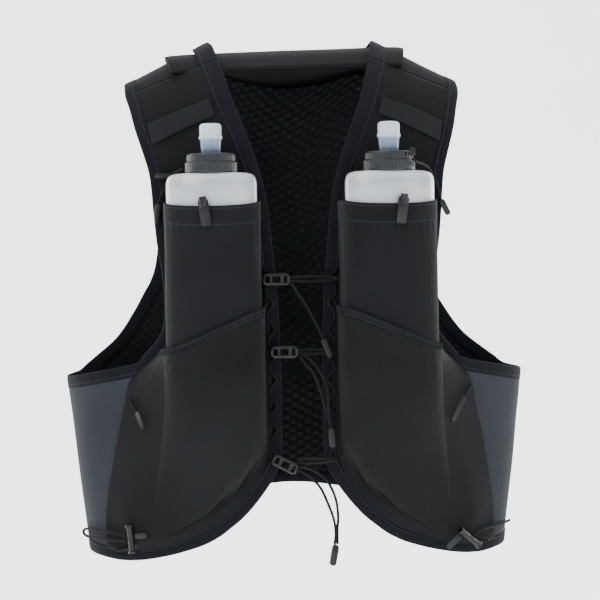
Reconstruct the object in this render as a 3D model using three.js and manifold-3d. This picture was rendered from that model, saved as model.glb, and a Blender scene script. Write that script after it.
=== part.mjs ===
import * as THREE from 'three';
import { mergeVertices } from 'three/addons/utils/BufferGeometryUtils.js';
import Module from 'manifold-3d';

// Running hydration vest in its worn form, with two soft flasks in the chest pockets.
// Millimetres, +Z up. The front faces -Y, and "left" and "right" are as seen from the front.
// The origin lies midway between the shoulders, at the height at which they sit.

const wasm = await Module();
wasm.setup();

// Body form
const LENGTH = 460; // shoulder seat to the lowest corner of the hem
const HALF_WIDTH = 205; // centre to the side at the armholes' lowest point
const HEM_HALF_WIDTH = 186;
const FRONT_DEPTH = 70;
const BACK_DEPTH = 62;
const SQUARENESS = 2.3; // 2 would make the body's section an ellipse
const ARMPIT_DROP = 299;
const NECK_HALF = 77.5; // centre to the shoulders' inner ends
const NECK_RISE = 1.8;
const SHOULDER_SLOPE = 0.5;
const SHOULDER_ROLL = 110; // height over which a shoulder rolls over into the chest and the back

// Cloth
const CLOTH = 1.5;
const SEAM = 0.4; // gap between neighbouring cloth pieces
const BAND_IN = 0.7; // how far a binding stands inside of the cloth that it edges
const BAND_OUT = 2;
const ARM_BAND = 10;
const RIM_BAND = 16; // front binding at the neck, its widest place
const HEM_TALL = 8; // ribbed hem of a lower pocket
const LAYER_GAP = 0.9; // between two layers of cloth
const SIDE_SEAM_TURN = THREE.MathUtils.degToRad(110);
const ARMPIT_DIP = 7;
const MESH_INSET = 3.5; // back cloth to the mesh inside it
const MESH_EDGE = 0.9; // the same at the mesh's sewn edges
const MESH_CLOTH = 2;

// Flasks and their pockets
const FLASK_ACROSS = 76; // centre line to the axis of a flask
const FLASK_HALF_WIDTH = 40;
const FLASK_HALF_DEPTH = 23;
const FLASK_TOP_DROP = 118;
const FLASK_LENGTH = 175;
const FLASK_NECK_RADIUS = 18.5;
const FLASK_NECK_TALL = 12;
const CAP_RADIUS = 23;
const CAP_TALL = 17;
const CAP_WALL = 3;
const VALVE_RADIUS = 10.4;
const VALVE_TALL = 26;
const FIT = 0.4; // clearance between hard pieces
const POCKET_EASE = 0.6;
const POCKET_TOP_DROP = 143;
const POCKET_BASE = 2.8; // the pocket's edge above the body
const POCKET_TAIL = 14; // below the flask
const POCKET_SAG = 4; // of its hem in front
const LAYER_BASE = CLOTH + LAYER_GAP;
const POCKET_PUFF = 7;
const POCKET_INNER_ROW = 5.25; // rows of the front at which a lower pocket's hem starts and ends
const POCKET_OUTER_ROW = 6.75;
const HEM_RISE = 0.5; // ribbed hem's extra thickness
const DRAPE_START = 298; // drops between which a lower pocket leaves the flask for the body
const DRAPE_END = 440;
const DRAPE_SLOPE = 0.45; // share of the way from the flask's side to the pocket's outer seam
const DRAPE_REACH = 2; // least distance from the inner seam at which the flask shapes the pocket
const COLUMN_EASE = 0.35; // least share of an even spread that its columns keep

// Hardware and cords
const CORD = 2.4;
const HOOK_LENGTH = 24;
const HOOK_WIDTH = 10.5;
const HOOK_THICK = 3;
const HOOK_CORNER = 3.4;
const TOGGLE_LENGTH = 25;
const TOGGLE_RADIUS = 2.6;
const CLIP_WIDTH = 9;
const CLIP_LENGTH = 24;
const CLIP_THICK = 3.4;
const CLIP_TILT = 8; // degrees
const CLIP_ACROSS = 5; // outward of the flask's axis
const CLIP_RISE = 6; // above the hem
const LOOP_ARCH = 2.4; // how far a webbing loop stands off at its middle
const LACE_PITCH = 22.4;
const LACE_TOP_DROP = 211;
const LACE_LOOPS = 8;
const LACE_REACH = 5;
const LACE_INSET = 9.5; // from the front edge to the lacing between its loops
const KNOT_RADIUS = 3.2;

const POWER = 2 / SQUARENESS;
const QUARTER = Math.PI / 2;
const { lerp, clamp, smoothstep, degToRad } = THREE.MathUtils;

// Shares of the two depths down the body
const DEPTHS = [
  { down: 0, front: 0.95, back: 0.95 },
  { down: 0.3, front: 1, back: 1 },
  { down: 0.65, front: 0.99, back: 0.95 },
  { down: 1, front: 0.92, back: 0.86 },
];

// Fronts: shares of HALF_WIDTH and LENGTH, with the inner binding's share of RIM_BAND
const FRONT_ROWS = [
  { outAcross: 0.733, outDown: 0.1, inAcross: 0.33, inDown: 0.031, band: 1 },
  { outAcross: 0.696, outDown: 0.168, inAcross: 0.278, inDown: 0.11, band: 0.95 },
  { outAcross: 0.644, outDown: 0.2485, inAcross: 0.198, inDown: 0.207, band: 0.85 },
  { outAcross: 0.629, outDown: 0.315, inAcross: 0.146, inDown: 0.295, band: 0.72 },
  { outAcross: 0.615, outDown: 0.3835, inAcross: 0.122, inDown: 0.3835, band: 0.7 },
  { outAcross: 0.588, outDown: 0.4716, inAcross: 0.102, inDown: 0.481, band: 0.7 },
  { outAcross: 0.595, outDown: 0.55, inAcross: 0.093, inDown: 0.579, band: 0.7 },
  { outAcross: 0.65, outDown: 0.589, inAcross: 0.09, inDown: 0.638, band: 0.7 },
  { outAcross: 0.712, outDown: 0.618, inAcross: 0.089, inDown: 0.687, band: 0.7 },
  { outAcross: 0.751, outDown: 0.687, inAcross: 0.09, inDown: 0.736, band: 0.7 },
  { outAcross: 0.785, outDown: 0.755, inAcross: 0.091, inDown: 0.787, band: 0.7 },
  { outAcross: 0.815, outDown: 0.824, inAcross: 0.1195, inDown: 0.837, band: 0.68 },
  { outAcross: 0.836, outDown: 0.882, inAcross: 0.2185, inDown: 0.898, band: 0.62 },
  { outAcross: 0.842, outDown: 0.92, inAcross: 0.317, inDown: 0.939, band: 0.6 },
  { outAcross: 0.842, outDown: 0.95, inAcross: 0.447, inDown: 0.973, band: 0.6 },
  { outAcross: 0.836, outDown: 0.975, inAcross: 0.683, inDown: 0.998, band: 0.6 },
];
const SLATE_ROW = 8; // the row at which the side panel starts
const HEM_CORNER = { across: 0.829, down: 0.996, sheet: 'front', band: 0.6 };

// Neck edge from the centre of the back over the shoulder to the yoke seam in front
const NECK_EDGE = [
  { across: 0, down: 0.0395, sheet: 'back', band: 0.62 },
  { across: 0.13, down: 0.036, sheet: 'back', band: 0.62 },
  { across: 0.25, down: 0.024, sheet: 'back', band: 0.66 },
  { across: 0.33, down: 0.0117, sheet: 'back', band: 0.75 },
  { across: 0.36, down: 0, sheet: 'ridge', band: 0.9 },
  { across: 0.33, down: 0.031, sheet: 'over', band: 1 },
];

// Armhole's back edge from the side seam up to the yoke seam
const ARM_BACK_EDGE = [
  { across: 0.86, down: 0.6, sheet: 'back' },
  { across: 0.78, down: 0.569, sheet: 'back' },
  { across: 0.717, down: 0.53, sheet: 'back' },
  { across: 0.654, down: 0.4814, sheet: 'back' },
  { across: 0.6, down: 0.4266, sheet: 'back' },
  { across: 0.575, down: 0.305, sheet: 'back' },
  { across: 0.605, down: 0.207, sheet: 'back' },
  { across: 0.673, down: 0.129, sheet: 'back' },
  { across: 0.72, down: 0.095, sheet: 'back' },
  { across: 0.733, down: 0, sheet: 'ridge' },
  { across: 0.733, down: 0.1, sheet: 'over' },
];

const BACK_SEAM_TOP = 0.632; // where the side panel's back seam starts and ends, shares of LENGTH
const BACK_SEAM_FOOT = 0.97;
const BACK_HEM_CENTRE = 0.864;
const BACK_CENTRE_DOWNS = [0.17, 0.3, 0.4, 0.48, 0.55, 0.61];

// Flask from the shoulder down: shares of FLASK_LENGTH and of the half width and depth
const FLASK_SECTIONS = [
  { down: 0, wide: 0.8, deep: 0.85 },
  { down: 0.012, wide: 0.93, deep: 0.93 },
  { down: 0.04, wide: 0.99, deep: 0.96 },
  { down: 0.09, wide: 1, deep: 1 },
  { down: 0.3, wide: 0.99, deep: 1 },
  { down: 0.85, wide: 0.97, deep: 0.95 },
  { down: 0.95, wide: 0.88, deep: 0.75 },
  { down: 0.99, wide: 0.7, deep: 0.45 },
  { down: 1, wide: 0.5, deep: 0.25 },
];

// A flask pocket from its hem down: shares of its height, half width and rise above the body
const SLEEVE_SECTIONS = [
  { down: 0, wide: 1, rise: 1 },
  { down: 0.11, wide: 1, rise: 1 },
  { down: 0.5, wide: 1, rise: 1 },
  { down: 0.85, wide: 1, rise: 1 },
  { down: 0.93, wide: 0.97, rise: 0.93 },
  { down: 0.98, wide: 0.85, rise: 0.6 },
  { down: 1, wide: 0.7, rise: 0.25 },
];

// Angles round a flask's axis, outward to inward over its front, for all that wraps it
const WRAP_ANGLES = [180, 160, 140, 115, 90, 65, 40, 20, 0];

// Webbing's corners and the mesh's edges, shares of HALF_WIDTH and LENGTH
const LOOP_CORNERS = [
  { across: 0.375, down: 0.112, sheet: 'front' },
  { across: 0.639, down: 0.159, sheet: 'front' },
  { across: 0.355, down: 0.1435, sheet: 'front' },
  { across: 0.622, down: 0.1974, sheet: 'front' },
];
const MESH_TOP = [
  { across: 0.6, down: 0.125, sheet: 'back' },
  { across: 0.46, down: 0.072, sheet: 'back' },
  { across: 0.33, down: 0.046, sheet: 'back' },
  { across: 0.16, down: 0.064, sheet: 'back' },
  { across: 0, down: 0.072, sheet: 'back' },
];
const MESH_SIDE = [
  { across: 0.6, down: 0.125, sheet: 'back' },
  { across: 0.545, down: 0.2, sheet: 'back' },
  { across: 0.51, down: 0.305, sheet: 'back' },
  { across: 0.53, down: 0.425, sheet: 'back' },
  { across: 0.6, down: 0.5, sheet: 'back' },
  { across: 0.71, down: 0.58, sheet: 'back' },
  { across: 0.85, down: 0.65, sheet: 'back' },
  { across: 0.84, down: 0.78, sheet: 'back' },
  { across: 0.82, down: 0.905, sheet: 'back' },
];
const MESH_CENTRE_FOOT = { across: 0, down: 0.838, sheet: 'back' };

// Sternum fastenings: a hook on the left edge, its cord's start and its knot on the right edge
const FASTENINGS = [
  { name: 'top', across: -21.8, drop: 211.8, tilt: 0, cordStart: -9.4, cordDrop: 211.8, knot: 31.2 },
  { name: 'middle', across: -15.7, drop: 276.3, tilt: 0, cordStart: -3.3, cordDrop: 276.3, knot: 24 },
  { name: 'low', across: -16.5, drop: 376, tilt: 27, cordStart: -5.4, cordDrop: 372.9, knot: 24.5 },
];

// Windows through a hook, from its middle: an eye, a window and a slot
const HOOK_WINDOWS = [
  { from: -9.8, to: -6, tall: 5.6 },
  { from: -3.6, to: 3.6, tall: 5.6 },
  { from: 6.8, to: 9.6, tall: 6.4 },
];

// Routes of the free cords, points chosen by hand
const CORD_ROUTES = {
  sternum_tail_top: [
    [-8.8, -76.2, -215.2], [-3.5, -78, -224], [4, -80, -235.5], [10.5, -81.5, -247.5],
    [15, -82.5, -257], [18, -83, -265],
  ],
  sternum_tail_middle: [
    [-2.4, -76.1, -279.8], [2.3, -78, -286.2], [9.3, -79.5, -295.2], [13, -80.5, -303],
    [15.3, -81, -311.4], [19.5, -81.2, -326.7], [22.6, -81.4, -338], [23.6, -81.4, -343.5],
  ],
  sternum_tail_middle_2: [
    [1.2, -78.6, -278.8], [8, -80, -284.4], [14.2, -81, -292.5], [19.4, -82.5, -302.4],
    [21.9, -84, -315.9], [21.9, -84.6, -325], [22.8, -84.6, -335], [24, -84.6, -343.5],
  ],
  sternum_tail_low: [
    [-5, -76.3, -380.8], [1.2, -78, -384.2], [6.1, -79, -388], [14, -80, -396.9],
    [20.1, -80.5, -410.4], [25.2, -80, -424.8], [26.8, -79, -437.4], [25.7, -78.5, -447.3],
  ],
  sternum_tail_low_2: [
    [-4.1, -76.6, -378], [1.8, -77, -379.2], [8.3, -76.8, -381.6], [18.9, -76.5, -389.5],
    [24.6, -76.3, -398.7], [28.4, -76, -410.4], [29.6, -75.8, -423.9], [28.8, -75.6, -433],
    [28.6, -76, -447.3],
  ],
  flask_cord_left: [
    [-102.9, -88.9, -113.9], [-107, -80, -114.8], [-110.5, -72, -116.5], [-113, -68.4, -119.5],
    [-116.5, -68, -125], [-120.5, -67, -133.5], [-124.5, -66, -142.8],
  ],
  flask_cord_right: [
    [97.2, -108.4, -107.6], [100.5, -106.5, -110.5], [104.5, -100, -111.5], [110, -90, -112.8],
    [116, -80, -116.5], [121, -72, -124], [125, -67, -133], [127.5, -65.5, -142.5],
  ],
  pole_cord_left: [
    [-157, -56.6, -437], [-165, -51, -435.5], [-173, -43.5, -434], [-181, -33, -433],
    [-187.5, -22.5, -432.5], [-192.3, -11, -433], [-194.2, -5, -434.6], [-194.2, -5, -437.6],
    [-192.1, -11, -439.3], [-187.3, -22.5, -439.7], [-180.8, -33, -440], [-172.8, -43.5, -441],
    [-165, -51, -441.5], [-156.6, -56.6, -441.5],
  ],
  pole_cord_right: [
    [152, -57.3, -443.7], [160, -52.5, -440], [168, -44.5, -438], [176, -35.5, -437],
    [183, -26.5, -436], [189.4, -15.5, -435], [193.4, -7, -434.5],
  ],
  zip_cord_left: [[-152.4, -59.4, -315.4], [-150, -62.6, -320.5], [-147, -66.8, -326.5]],
  zip_cord_right: [[152.8, -58.3, -309], [149.5, -63.5, -313.5], [145.2, -68.6, -318]],
};

// Plates at the ends of cords, each from just beyond its cords to a point
const CORD_ENDS = [
  { name: 'sternum_end_top', cords: ['sternum_tail_top'], to: [24.5, -84.6, -281.5], wide: 5, thick: 3.2 },
  { name: 'sternum_end_middle', cords: ['sternum_tail_middle', 'sternum_tail_middle_2'],
    to: [25, -83, -361], wide: 5.4, thick: 6 },
  { name: 'sternum_end_low', cords: ['sternum_tail_low', 'sternum_tail_low_2'],
    to: [23.6, -77.2, -466], wide: 6, thick: 5.4 },
  { name: 'flask_cord_end_left', cords: ['flask_cord_left'], to: [-126.2, -65.4, -160.5],
    wide: 5, thick: 3.2 },
  { name: 'flask_cord_end_right', cords: ['flask_cord_right'], to: [134.5, -64.4, -156.5],
    wide: 5, thick: 3.2 },
  { name: 'zip_pull_left', cords: ['zip_cord_left'], to: [-141.1, -73.4, -342], wide: 4.6, thick: 2.4 },
  { name: 'zip_pull_right', cords: ['zip_cord_right'], to: [132, -81.6, -340.5], wide: 4.6, thick: 2.4 },
];

// Plates that hold a cord to the cloth or the cap, from one end to the other
const CORD_HOLDERS = [
  { name: 'flask_cord_lock_left', from: [-127, -65.1, -118.4], to: [-111, -65.1, -118.4],
    wide: 4.5, thick: 3.2 },
  { name: 'flask_cord_lock_right', from: [97.1, -108.4, -98], to: [97.1, -108.4, -106.2],
    wide: 4.8, thick: 4.8 },
  { name: 'pole_anchor_left', from: [-150.4, -57.6, -437.5], to: [-139.5, -61, -436.6], wide: 5, thick: 2 },
  { name: 'pole_anchor_right', from: [140, -62, -443.5], to: [129, -59.5, -454], wide: 5, thick: 2 },
];
const TOGGLES = [
  { name: 'pole_toggle_left', from: [-155.3, -58.4, -427.3], to: [-152.6, -58.2, -452.2] },
  { name: 'pole_toggle_right', from: [140.5, -61.9, -438.3], to: [158.4, -53.9, -453.2] },
];

// Body form worked out from the sizes

const powered = (value) => Math.sign(value) * Math.abs(value) ** POWER;

function halfWidthAt(z) {
  const share = clamp((-z - ARMPIT_DROP) / (LENGTH - ARMPIT_DROP), 0, 1.1);
  return lerp(HALF_WIDTH, HEM_HALF_WIDTH, share);
}

function depthAt(z, inFront) {
  const down = clamp(-z / LENGTH, 0, 1);
  const next = Math.max(1, DEPTHS.findIndex((row) => row.down >= down));
  const [above, below] = [DEPTHS[next - 1], DEPTHS[next]];
  const share = (down - above.down) / (below.down - above.down);
  const column = inFront ? 'front' : 'back';
  return (inFront ? FRONT_DEPTH : BACK_DEPTH) * lerp(above[column], below[column], share);
}

// Height of the shoulders' ridge, rounded between the shoulders
function ridgeOver(across) {
  const share = across / NECK_HALF;
  if (share > 1) return NECK_RISE - SHOULDER_SLOPE * (across - NECK_HALF);
  return NECK_RISE + (SHOULDER_SLOPE * NECK_HALF * (1 - share ** 2)) / 2;
}

const ridgeAt = (turn) => ridgeOver(HALF_WIDTH * Math.abs(powered(Math.sin(turn))));

function rollFor(fall) {
  const share = Math.max(0, fall) / SHOULDER_ROLL;
  return share < 1 ? Math.acos(1 - share) : QUARTER + share - 1;
}

function fallFor(roll) {
  const size = Math.abs(roll);
  return SHOULDER_ROLL * (size < QUARTER ? 1 - Math.cos(size) : 1 + size - QUARTER);
}

// A place on the body is a turn from the front centre line and a roll from the shoulder's ridge.
// A negative roll lies past the ridge, on the other side.
function bodyPoint({ turn, roll }) {
  const z = ridgeAt(turn) - fallFor(roll);
  const inFront = Math.cos(turn) > 0 !== roll < 0;
  const out = Math.sin(Math.min(Math.abs(roll), QUARTER));
  const depth = depthAt(z, inFront) * Math.abs(Math.cos(turn)) ** POWER * out;
  return new THREE.Vector3(halfWidthAt(z) * powered(Math.sin(turn)), inFront ? -depth : depth, z);
}

function bodyNormal({ turn, roll }) {
  const step = 0.002;
  const turned = bodyPoint({ turn: turn + step, roll }).sub(bodyPoint({ turn: turn - step, roll }));
  const rolled = bodyPoint({ turn, roll: roll + step }).sub(bodyPoint({ turn, roll: roll - step }));
  return rolled.cross(turned).normalize();
}

const vertexAt = (place) => ({ point: bodyPoint(place), normal: bodyNormal(place) });

function placeOf({ across, down, sheet }) {
  const x = across * HALF_WIDTH;
  const z = sheet === 'ridge' ? ridgeOver(x) : -down * LENGTH;
  const turn = Math.asin(clamp(x / halfWidthAt(z), 0, 1) ** (1 / POWER));
  const roll = sheet === 'ridge' ? 0 : rollFor(ridgeAt(turn) - z);
  if (sheet === 'front') return { turn, roll };
  return { turn: Math.PI - turn, roll: sheet === 'over' ? -roll : roll };
}

function placeAtTurn(turn, down) {
  return { turn, roll: rollFor(ridgeAt(turn) + down * LENGTH) };
}

// The place on the body at a point near it, on the same side of the ridge as a neighbour
function placeNear(point, neighbour) {
  const across = clamp(Math.abs(point.x) / halfWidthAt(point.z), 0, 1) ** (1 / POWER);
  const inFront = point.y < 0;
  const depth = depthAt(point.z, inFront);
  const fall = ridgeOver(Math.abs(point.x)) - point.z;
  if (fall < SHOULDER_ROLL) {
    const turn = Math.asin(across);
    const out = Math.abs(point.y) / (depth * Math.cos(turn) ** POWER);
    const roll = Math.atan2(out, 1 - fall / SHOULDER_ROLL);
    if (neighbour.turn <= QUARTER) return { turn, roll: inFront ? roll : -roll };
    return { turn: Math.PI - turn, roll: inFront ? -roll : roll };
  }
  const along = (Math.abs(point.y) / depth) ** (1 / POWER);
  const turn = Math.atan2(across, inFront ? along : -along);
  return { turn, roll: rollFor(ridgeAt(turn) - point.z) };
}

// Chains of places along the edges

function mixPlaces(from, to, share) {
  const turn = lerp(from.turn, to.turn, share);
  if (Math.abs(from.roll) < QUARTER && Math.abs(to.roll) < QUARTER) {
    return { turn, roll: lerp(from.roll, to.roll, share) };
  }
  const z = lerp(bodyPoint(from).z, bodyPoint(to).z, share);
  return { turn, roll: rollFor(ridgeAt(turn) - z) };
}

// A smooth chain through places, with a number of steps to each of them
function smoothChain(places, steps) {
  const curve = new THREE.SplineCurve(places.map(({ turn, roll }) => new THREE.Vector2(turn, roll)));
  const count = (places.length - 1) * steps;
  return Array.from({ length: count + 1 }, (_, index) => {
    const spot = curve.getPoint(index / count);
    return { turn: spot.x, roll: spot.y };
  });
}

function smoothValues(values, steps) {
  const count = (values.length - 1) * steps;
  return Array.from({ length: count + 1 }, (_, index) => {
    const spot = Math.min(index / steps, values.length - 1);
    const base = Math.min(Math.floor(spot), values.length - 2);
    return lerp(values[base], values[base + 1], spot - base);
  });
}

// The chain that runs beside an edge at given distances, on its left (1) or right (-1)
function insetChain(chain, distances, side, closed) {
  const points = chain.map(bodyPoint);
  const last = chain.length - 1;
  return chain.map((place, index) => {
    const before = points[index > 0 ? index - 1 : closed ? last - 1 : 0];
    const after = points[index < last ? index + 1 : closed ? 1 : last];
    const along = after.clone().sub(before).normalize();
    const inward = bodyNormal(place).cross(along).multiplyScalar(side * distances[index]);
    return placeNear(points[index].clone().add(inward), place);
  });
}

function chainAt(chain, spot) {
  const base = clamp(Math.floor(spot), 0, chain.length - 2);
  return mixPlaces(chain[base], chain[base + 1], spot - base);
}

// Grids of vertices, and the closed solids made of them

function ruledRows(starts, ends, columns) {
  return starts.map((start, index) =>
    Array.from({ length: columns + 1 }, (_, column) =>
      vertexAt(mixPlaces(start, ends[index], column / columns))));
}

// Rows between two side chains that also follow a given first and last row
function patchRows(starts, ends, firstRow, lastRow) {
  const columns = firstRow.length - 1;
  const rows = starts.length - 1;
  return starts.map((start, index) => {
    const share = index / rows;
    return firstRow.map((_, column) => {
      const across = column / columns;
      const turnOf = (from, to, row, weight) =>
        weight * (row[column].turn - lerp(from.turn, to.turn, across));
      const heightOf = (from, to, row, weight) =>
        weight * (bodyPoint(row[column]).z - lerp(bodyPoint(from).z, bodyPoint(to).z, across));
      const end = ends[index];
      const top = [starts[0], ends[0], firstRow, 1 - share];
      const foot = [starts[rows], ends[rows], lastRow, share];
      const turn = lerp(start.turn, end.turn, across) + turnOf(...top) + turnOf(...foot);
      const level = lerp(bodyPoint(start).z, bodyPoint(end).z, across);
      const z = level + heightOf(...top) + heightOf(...foot);
      return vertexAt({ turn, roll: rollFor(ridgeAt(turn) - z) });
    });
  });
}

function moved(vertex, toward, distance) {
  const step = toward.point.clone().sub(vertex.point).setLength(distance);
  return { point: vertex.point.clone().add(step), normal: vertex.normal };
}

// The same grid with its named edges pulled in by the seam gap
function trimmed(rows, ...edges) {
  const last = rows.length - 1;
  const end = rows[0].length - 1;
  return rows.map((row, index) => row.map((vertex, column) => {
    let result = vertex;
    if (edges.includes('first') && index === 0) result = moved(result, rows[1][column], SEAM);
    if (edges.includes('last') && index === last) result = moved(result, rows[last - 1][column], SEAM);
    if (edges.includes('start') && column === 0) result = moved(result, row[1], SEAM);
    if (edges.includes('end') && column === end) result = moved(result, row[end - 1], SEAM);
    return result;
  }));
}

function lifted(rows, liftOf) {
  return rows.map((row, index) => row.map((vertex, column) => {
    const lift = liftOf(column / (row.length - 1), index / (rows.length - 1));
    return { point: vertex.point.clone().addScaledVector(vertex.normal, lift), normal: vertex.normal };
  }));
}

// Vertices with normals worked out from their neighbours in the grid
function withNormals(rows) {
  return rows.map((row, index) => row.map((point, column) => {
    const above = rows[Math.max(0, index - 1)][column];
    const below = rows[Math.min(rows.length - 1, index + 1)][column];
    const before = row[Math.max(0, column - 1)];
    const after = row[Math.min(row.length - 1, column + 1)];
    const normal = below.clone().sub(above).cross(after.clone().sub(before)).normalize();
    return { point, normal };
  }));
}

function mirroredRows(rows) {
  const flip = (vector) => new THREE.Vector3(-vector.x, vector.y, vector.z);
  return rows.map((row) =>
    row.map(({ point, normal }) => ({ point: flip(point), normal: flip(normal) })).reverse());
}

function signedVolume(positions, triangles) {
  let volume = 0;
  const [a, b, c] = [new THREE.Vector3(), new THREE.Vector3(), new THREE.Vector3()];
  for (const triangle of triangles) {
    a.copy(positions[triangle[0]]);
    b.copy(positions[triangle[1]]);
    c.copy(positions[triangle[2]]);
    volume += a.dot(b.cross(c)) / 6;
  }
  return volume;
}

function solidFrom(positions, triangles) {
  const outward = signedVolume(positions, triangles) > 0;
  const ordered = triangles.map(([a, b, c]) => (outward ? [a, b, c] : [a, c, b]));
  const geometry = new THREE.BufferGeometry().setFromPoints(positions);
  geometry.setIndex(ordered.flat());
  geometry.computeVertexNormals();
  return geometry;
}

// One closed wall between two offsets from grids that share their touching vertices
function shell(grids, inside, outside) {
  const known = new Map();
  const vertices = [];
  const indexOf = (vertex) => {
    const key = vertex.point.toArray().map((value) => Math.round(value * 1000)).join();
    if (!known.has(key)) {
      known.set(key, vertices.length);
      vertices.push(vertex);
    }
    return known.get(key);
  };
  const faces = [];
  for (const rows of grids) {
    const ids = rows.map((row) => row.map(indexOf));
    for (let row = 0; row + 1 < ids.length; row += 1) {
      for (let column = 0; column + 1 < ids[row].length; column += 1) {
        const corners = [ids[row][column], ids[row + 1][column]];
        corners.push(ids[row + 1][column + 1], ids[row][column + 1]);
        faces.push(corners.filter((id, place) => corners.indexOf(id) === place));
      }
    }
  }
  const edges = new Set();
  const edgesOf = (face) => face.map((id, place) => [id, face[(place + 1) % face.length]]);
  faces.forEach((face) => edgesOf(face).forEach((edge) => edges.add(edge.join())));
  const offset = (distance) => vertices.map(({ point, normal }) =>
    point.clone().addScaledVector(normal, distance));
  const count = vertices.length;
  const triangles = [];
  for (const face of faces) {
    for (let place = 1; place + 1 < face.length; place += 1) {
      const [a, b, c] = [face[0], face[place], face[place + 1]];
      triangles.push([a + count, b + count, c + count], [a, c, b]);
    }
    for (const [from, to] of edgesOf(face)) {
      if (edges.has([to, from].join())) continue;
      triangles.push([to + count, from + count, from], [to + count, from, to]);
    }
  }
  return solidFrom([...offset(inside), ...offset(outside)], triangles);
}

// A closed solid through rings of points, with flat ends
function loft(rings) {
  const sides = rings[0].length;
  const positions = rings.flat();
  const triangles = [];
  for (let ring = 0; ring + 1 < rings.length; ring += 1) {
    for (let side = 0; side < sides; side += 1) {
      const next = (side + 1) % sides;
      const [a, b] = [ring * sides + side, ring * sides + next];
      triangles.push([a, b, b + sides], [a, b + sides, a + sides]);
    }
  }
  const foot = (rings.length - 1) * sides;
  for (let side = 1; side + 1 < sides; side += 1) {
    triangles.push([0, side + 1, side], [foot, foot + side, foot + side + 1]);
  }
  return solidFrom(positions, triangles);
}

// A round bar swept along points, its section carried on from point to point
function tube(points, radius, sides = 8) {
  const directions = points.map((_, index) => points[Math.min(index + 1, points.length - 1)].clone()
    .sub(points[Math.max(index - 1, 0)]).normalize());
  let across = new THREE.Vector3(0.3, 0.2, 0.9).cross(directions[0]).normalize();
  const rings = points.map((point, index) => {
    across = across.clone().addScaledVector(directions[index], -across.dot(directions[index]));
    across.normalize();
    const up = directions[index].clone().cross(across);
    return Array.from({ length: sides }, (_, side) => {
      const angle = (2 * Math.PI * side) / sides;
      return point.clone().addScaledVector(across, radius * Math.cos(angle))
        .addScaledVector(up, radius * Math.sin(angle));
    });
  });
  return loft(rings);
}

function smoothPath(points, steps) {
  const curve = new THREE.CatmullRomCurve3(points.map((point) => new THREE.Vector3(...point)));
  return curve.getPoints((points.length - 1) * steps);
}

function toManifold(geometry) {
  const bare = geometry.clone();
  bare.deleteAttribute('normal');
  bare.deleteAttribute('uv');
  const merged = mergeVertices(bare, 1e-4);
  return new wasm.Manifold(new wasm.Mesh({
    numProp: 3,
    vertProperties: new Float32Array(merged.attributes.position.array),
    triVerts: new Uint32Array(merged.index.array),
  }));
}

function fromManifold(solid) {
  const { vertProperties, triVerts } = solid.getMesh();
  const geometry = new THREE.BufferGeometry();
  geometry.setAttribute('position', new THREE.BufferAttribute(new Float32Array(vertProperties), 3));
  geometry.setIndex([...triVerts]);
  geometry.computeVertexNormals();
  return geometry;
}

function joined(geometries) {
  return fromManifold(geometries.map(toManifold).reduce((whole, solid) => whole.add(solid)));
}

function cut(geometry, cutters) {
  return fromManifold(cutters.map(toManifold)
    .reduce((whole, solid) => whole.subtract(solid), toManifold(geometry)));
}

function lathe(profile, sides) {
  const points = profile.map(([radius, height]) => new THREE.Vector2(radius, height));
  return new THREE.LatheGeometry(points, sides).rotateX(QUARTER);
}

// Mirrors a closed solid to the other side of the centre plane
function mirrored(geometry) {
  const copy = geometry.index ? geometry.toNonIndexed() : geometry.clone();
  copy.scale(-1, 1, 1);
  const positions = copy.attributes.position.array;
  for (let start = 0; start < positions.length; start += 9) {
    for (let axis = 0; axis < 3; axis += 1) {
      const kept = positions[start + 3 + axis];
      positions[start + 3 + axis] = positions[start + 6 + axis];
      positions[start + 6 + axis] = kept;
    }
  }
  copy.computeVertexNormals();
  return copy;
}

const material = (color, roughness, metalness = 0) =>
  new THREE.MeshStandardMaterial({ color, roughness, metalness, side: THREE.DoubleSide });

const MATERIALS = {
  cloth: material('#26262b', 0.85),
  slate: material('#3b3f45', 0.75),
  mesh: material('#1e1f24', 0.9),
  binding: material('#1e1f27', 0.8),
  webbing: material('#2b2d30', 0.7),
  elastic: material('#1b1c20', 0.85),
  flask: material('#c4ccd2', 0.35),
  cap: material('#2a2d30', 0.45),
  valve: material('#9fb4c8', 0.4),
  plastic: material('#17181a', 0.4),
  cord: material('#141518', 0.8),
};

const vest = new THREE.Group();

function add(name, geometry, look) {
  const mesh = new THREE.Mesh(geometry, MATERIALS[look]);
  mesh.name = name;
  vest.add(mesh);
  return mesh;
}

function addPair(name, geometry, look) {
  add(`${name}_right`, geometry, look);
  add(`${name}_left`, mirrored(geometry), look);
}

// Edges of the right half

const STEPS = 2;
const frontPlaces = FRONT_ROWS.map((row) => ({
  outer: placeOf({ across: row.outAcross, down: row.outDown, sheet: 'front' }),
  inner: placeOf({ across: row.inAcross, down: row.inDown, sheet: 'front' }),
}));
const armFront = smoothChain(frontPlaces.slice(0, SLATE_ROW + 1).map((row) => row.outer), STEPS);
const slateSeam = smoothChain(frontPlaces.slice(SLATE_ROW).map((row) => row.outer), STEPS);
const slateCorner = slateSeam[0];
const backSeamTop = placeAtTurn(SIDE_SEAM_TURN, BACK_SEAM_TOP);
const backSeamFoot = placeAtTurn(SIDE_SEAM_TURN, BACK_SEAM_FOOT);
const SIDE_COLUMNS = 4;

// From a front place to a back place round the side, with a dip in the middle
function roundTheSide(from, to, dip) {
  return Array.from({ length: SIDE_COLUMNS + 1 }, (_, column) => {
    const share = column / SIDE_COLUMNS;
    const turn = lerp(from.turn, to.turn, share);
    const level = lerp(bodyPoint(from).z, bodyPoint(to).z, share);
    const z = level - dip * Math.sin(Math.PI * share);
    return { turn, roll: rollFor(ridgeAt(turn) - z) };
  });
}

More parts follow.
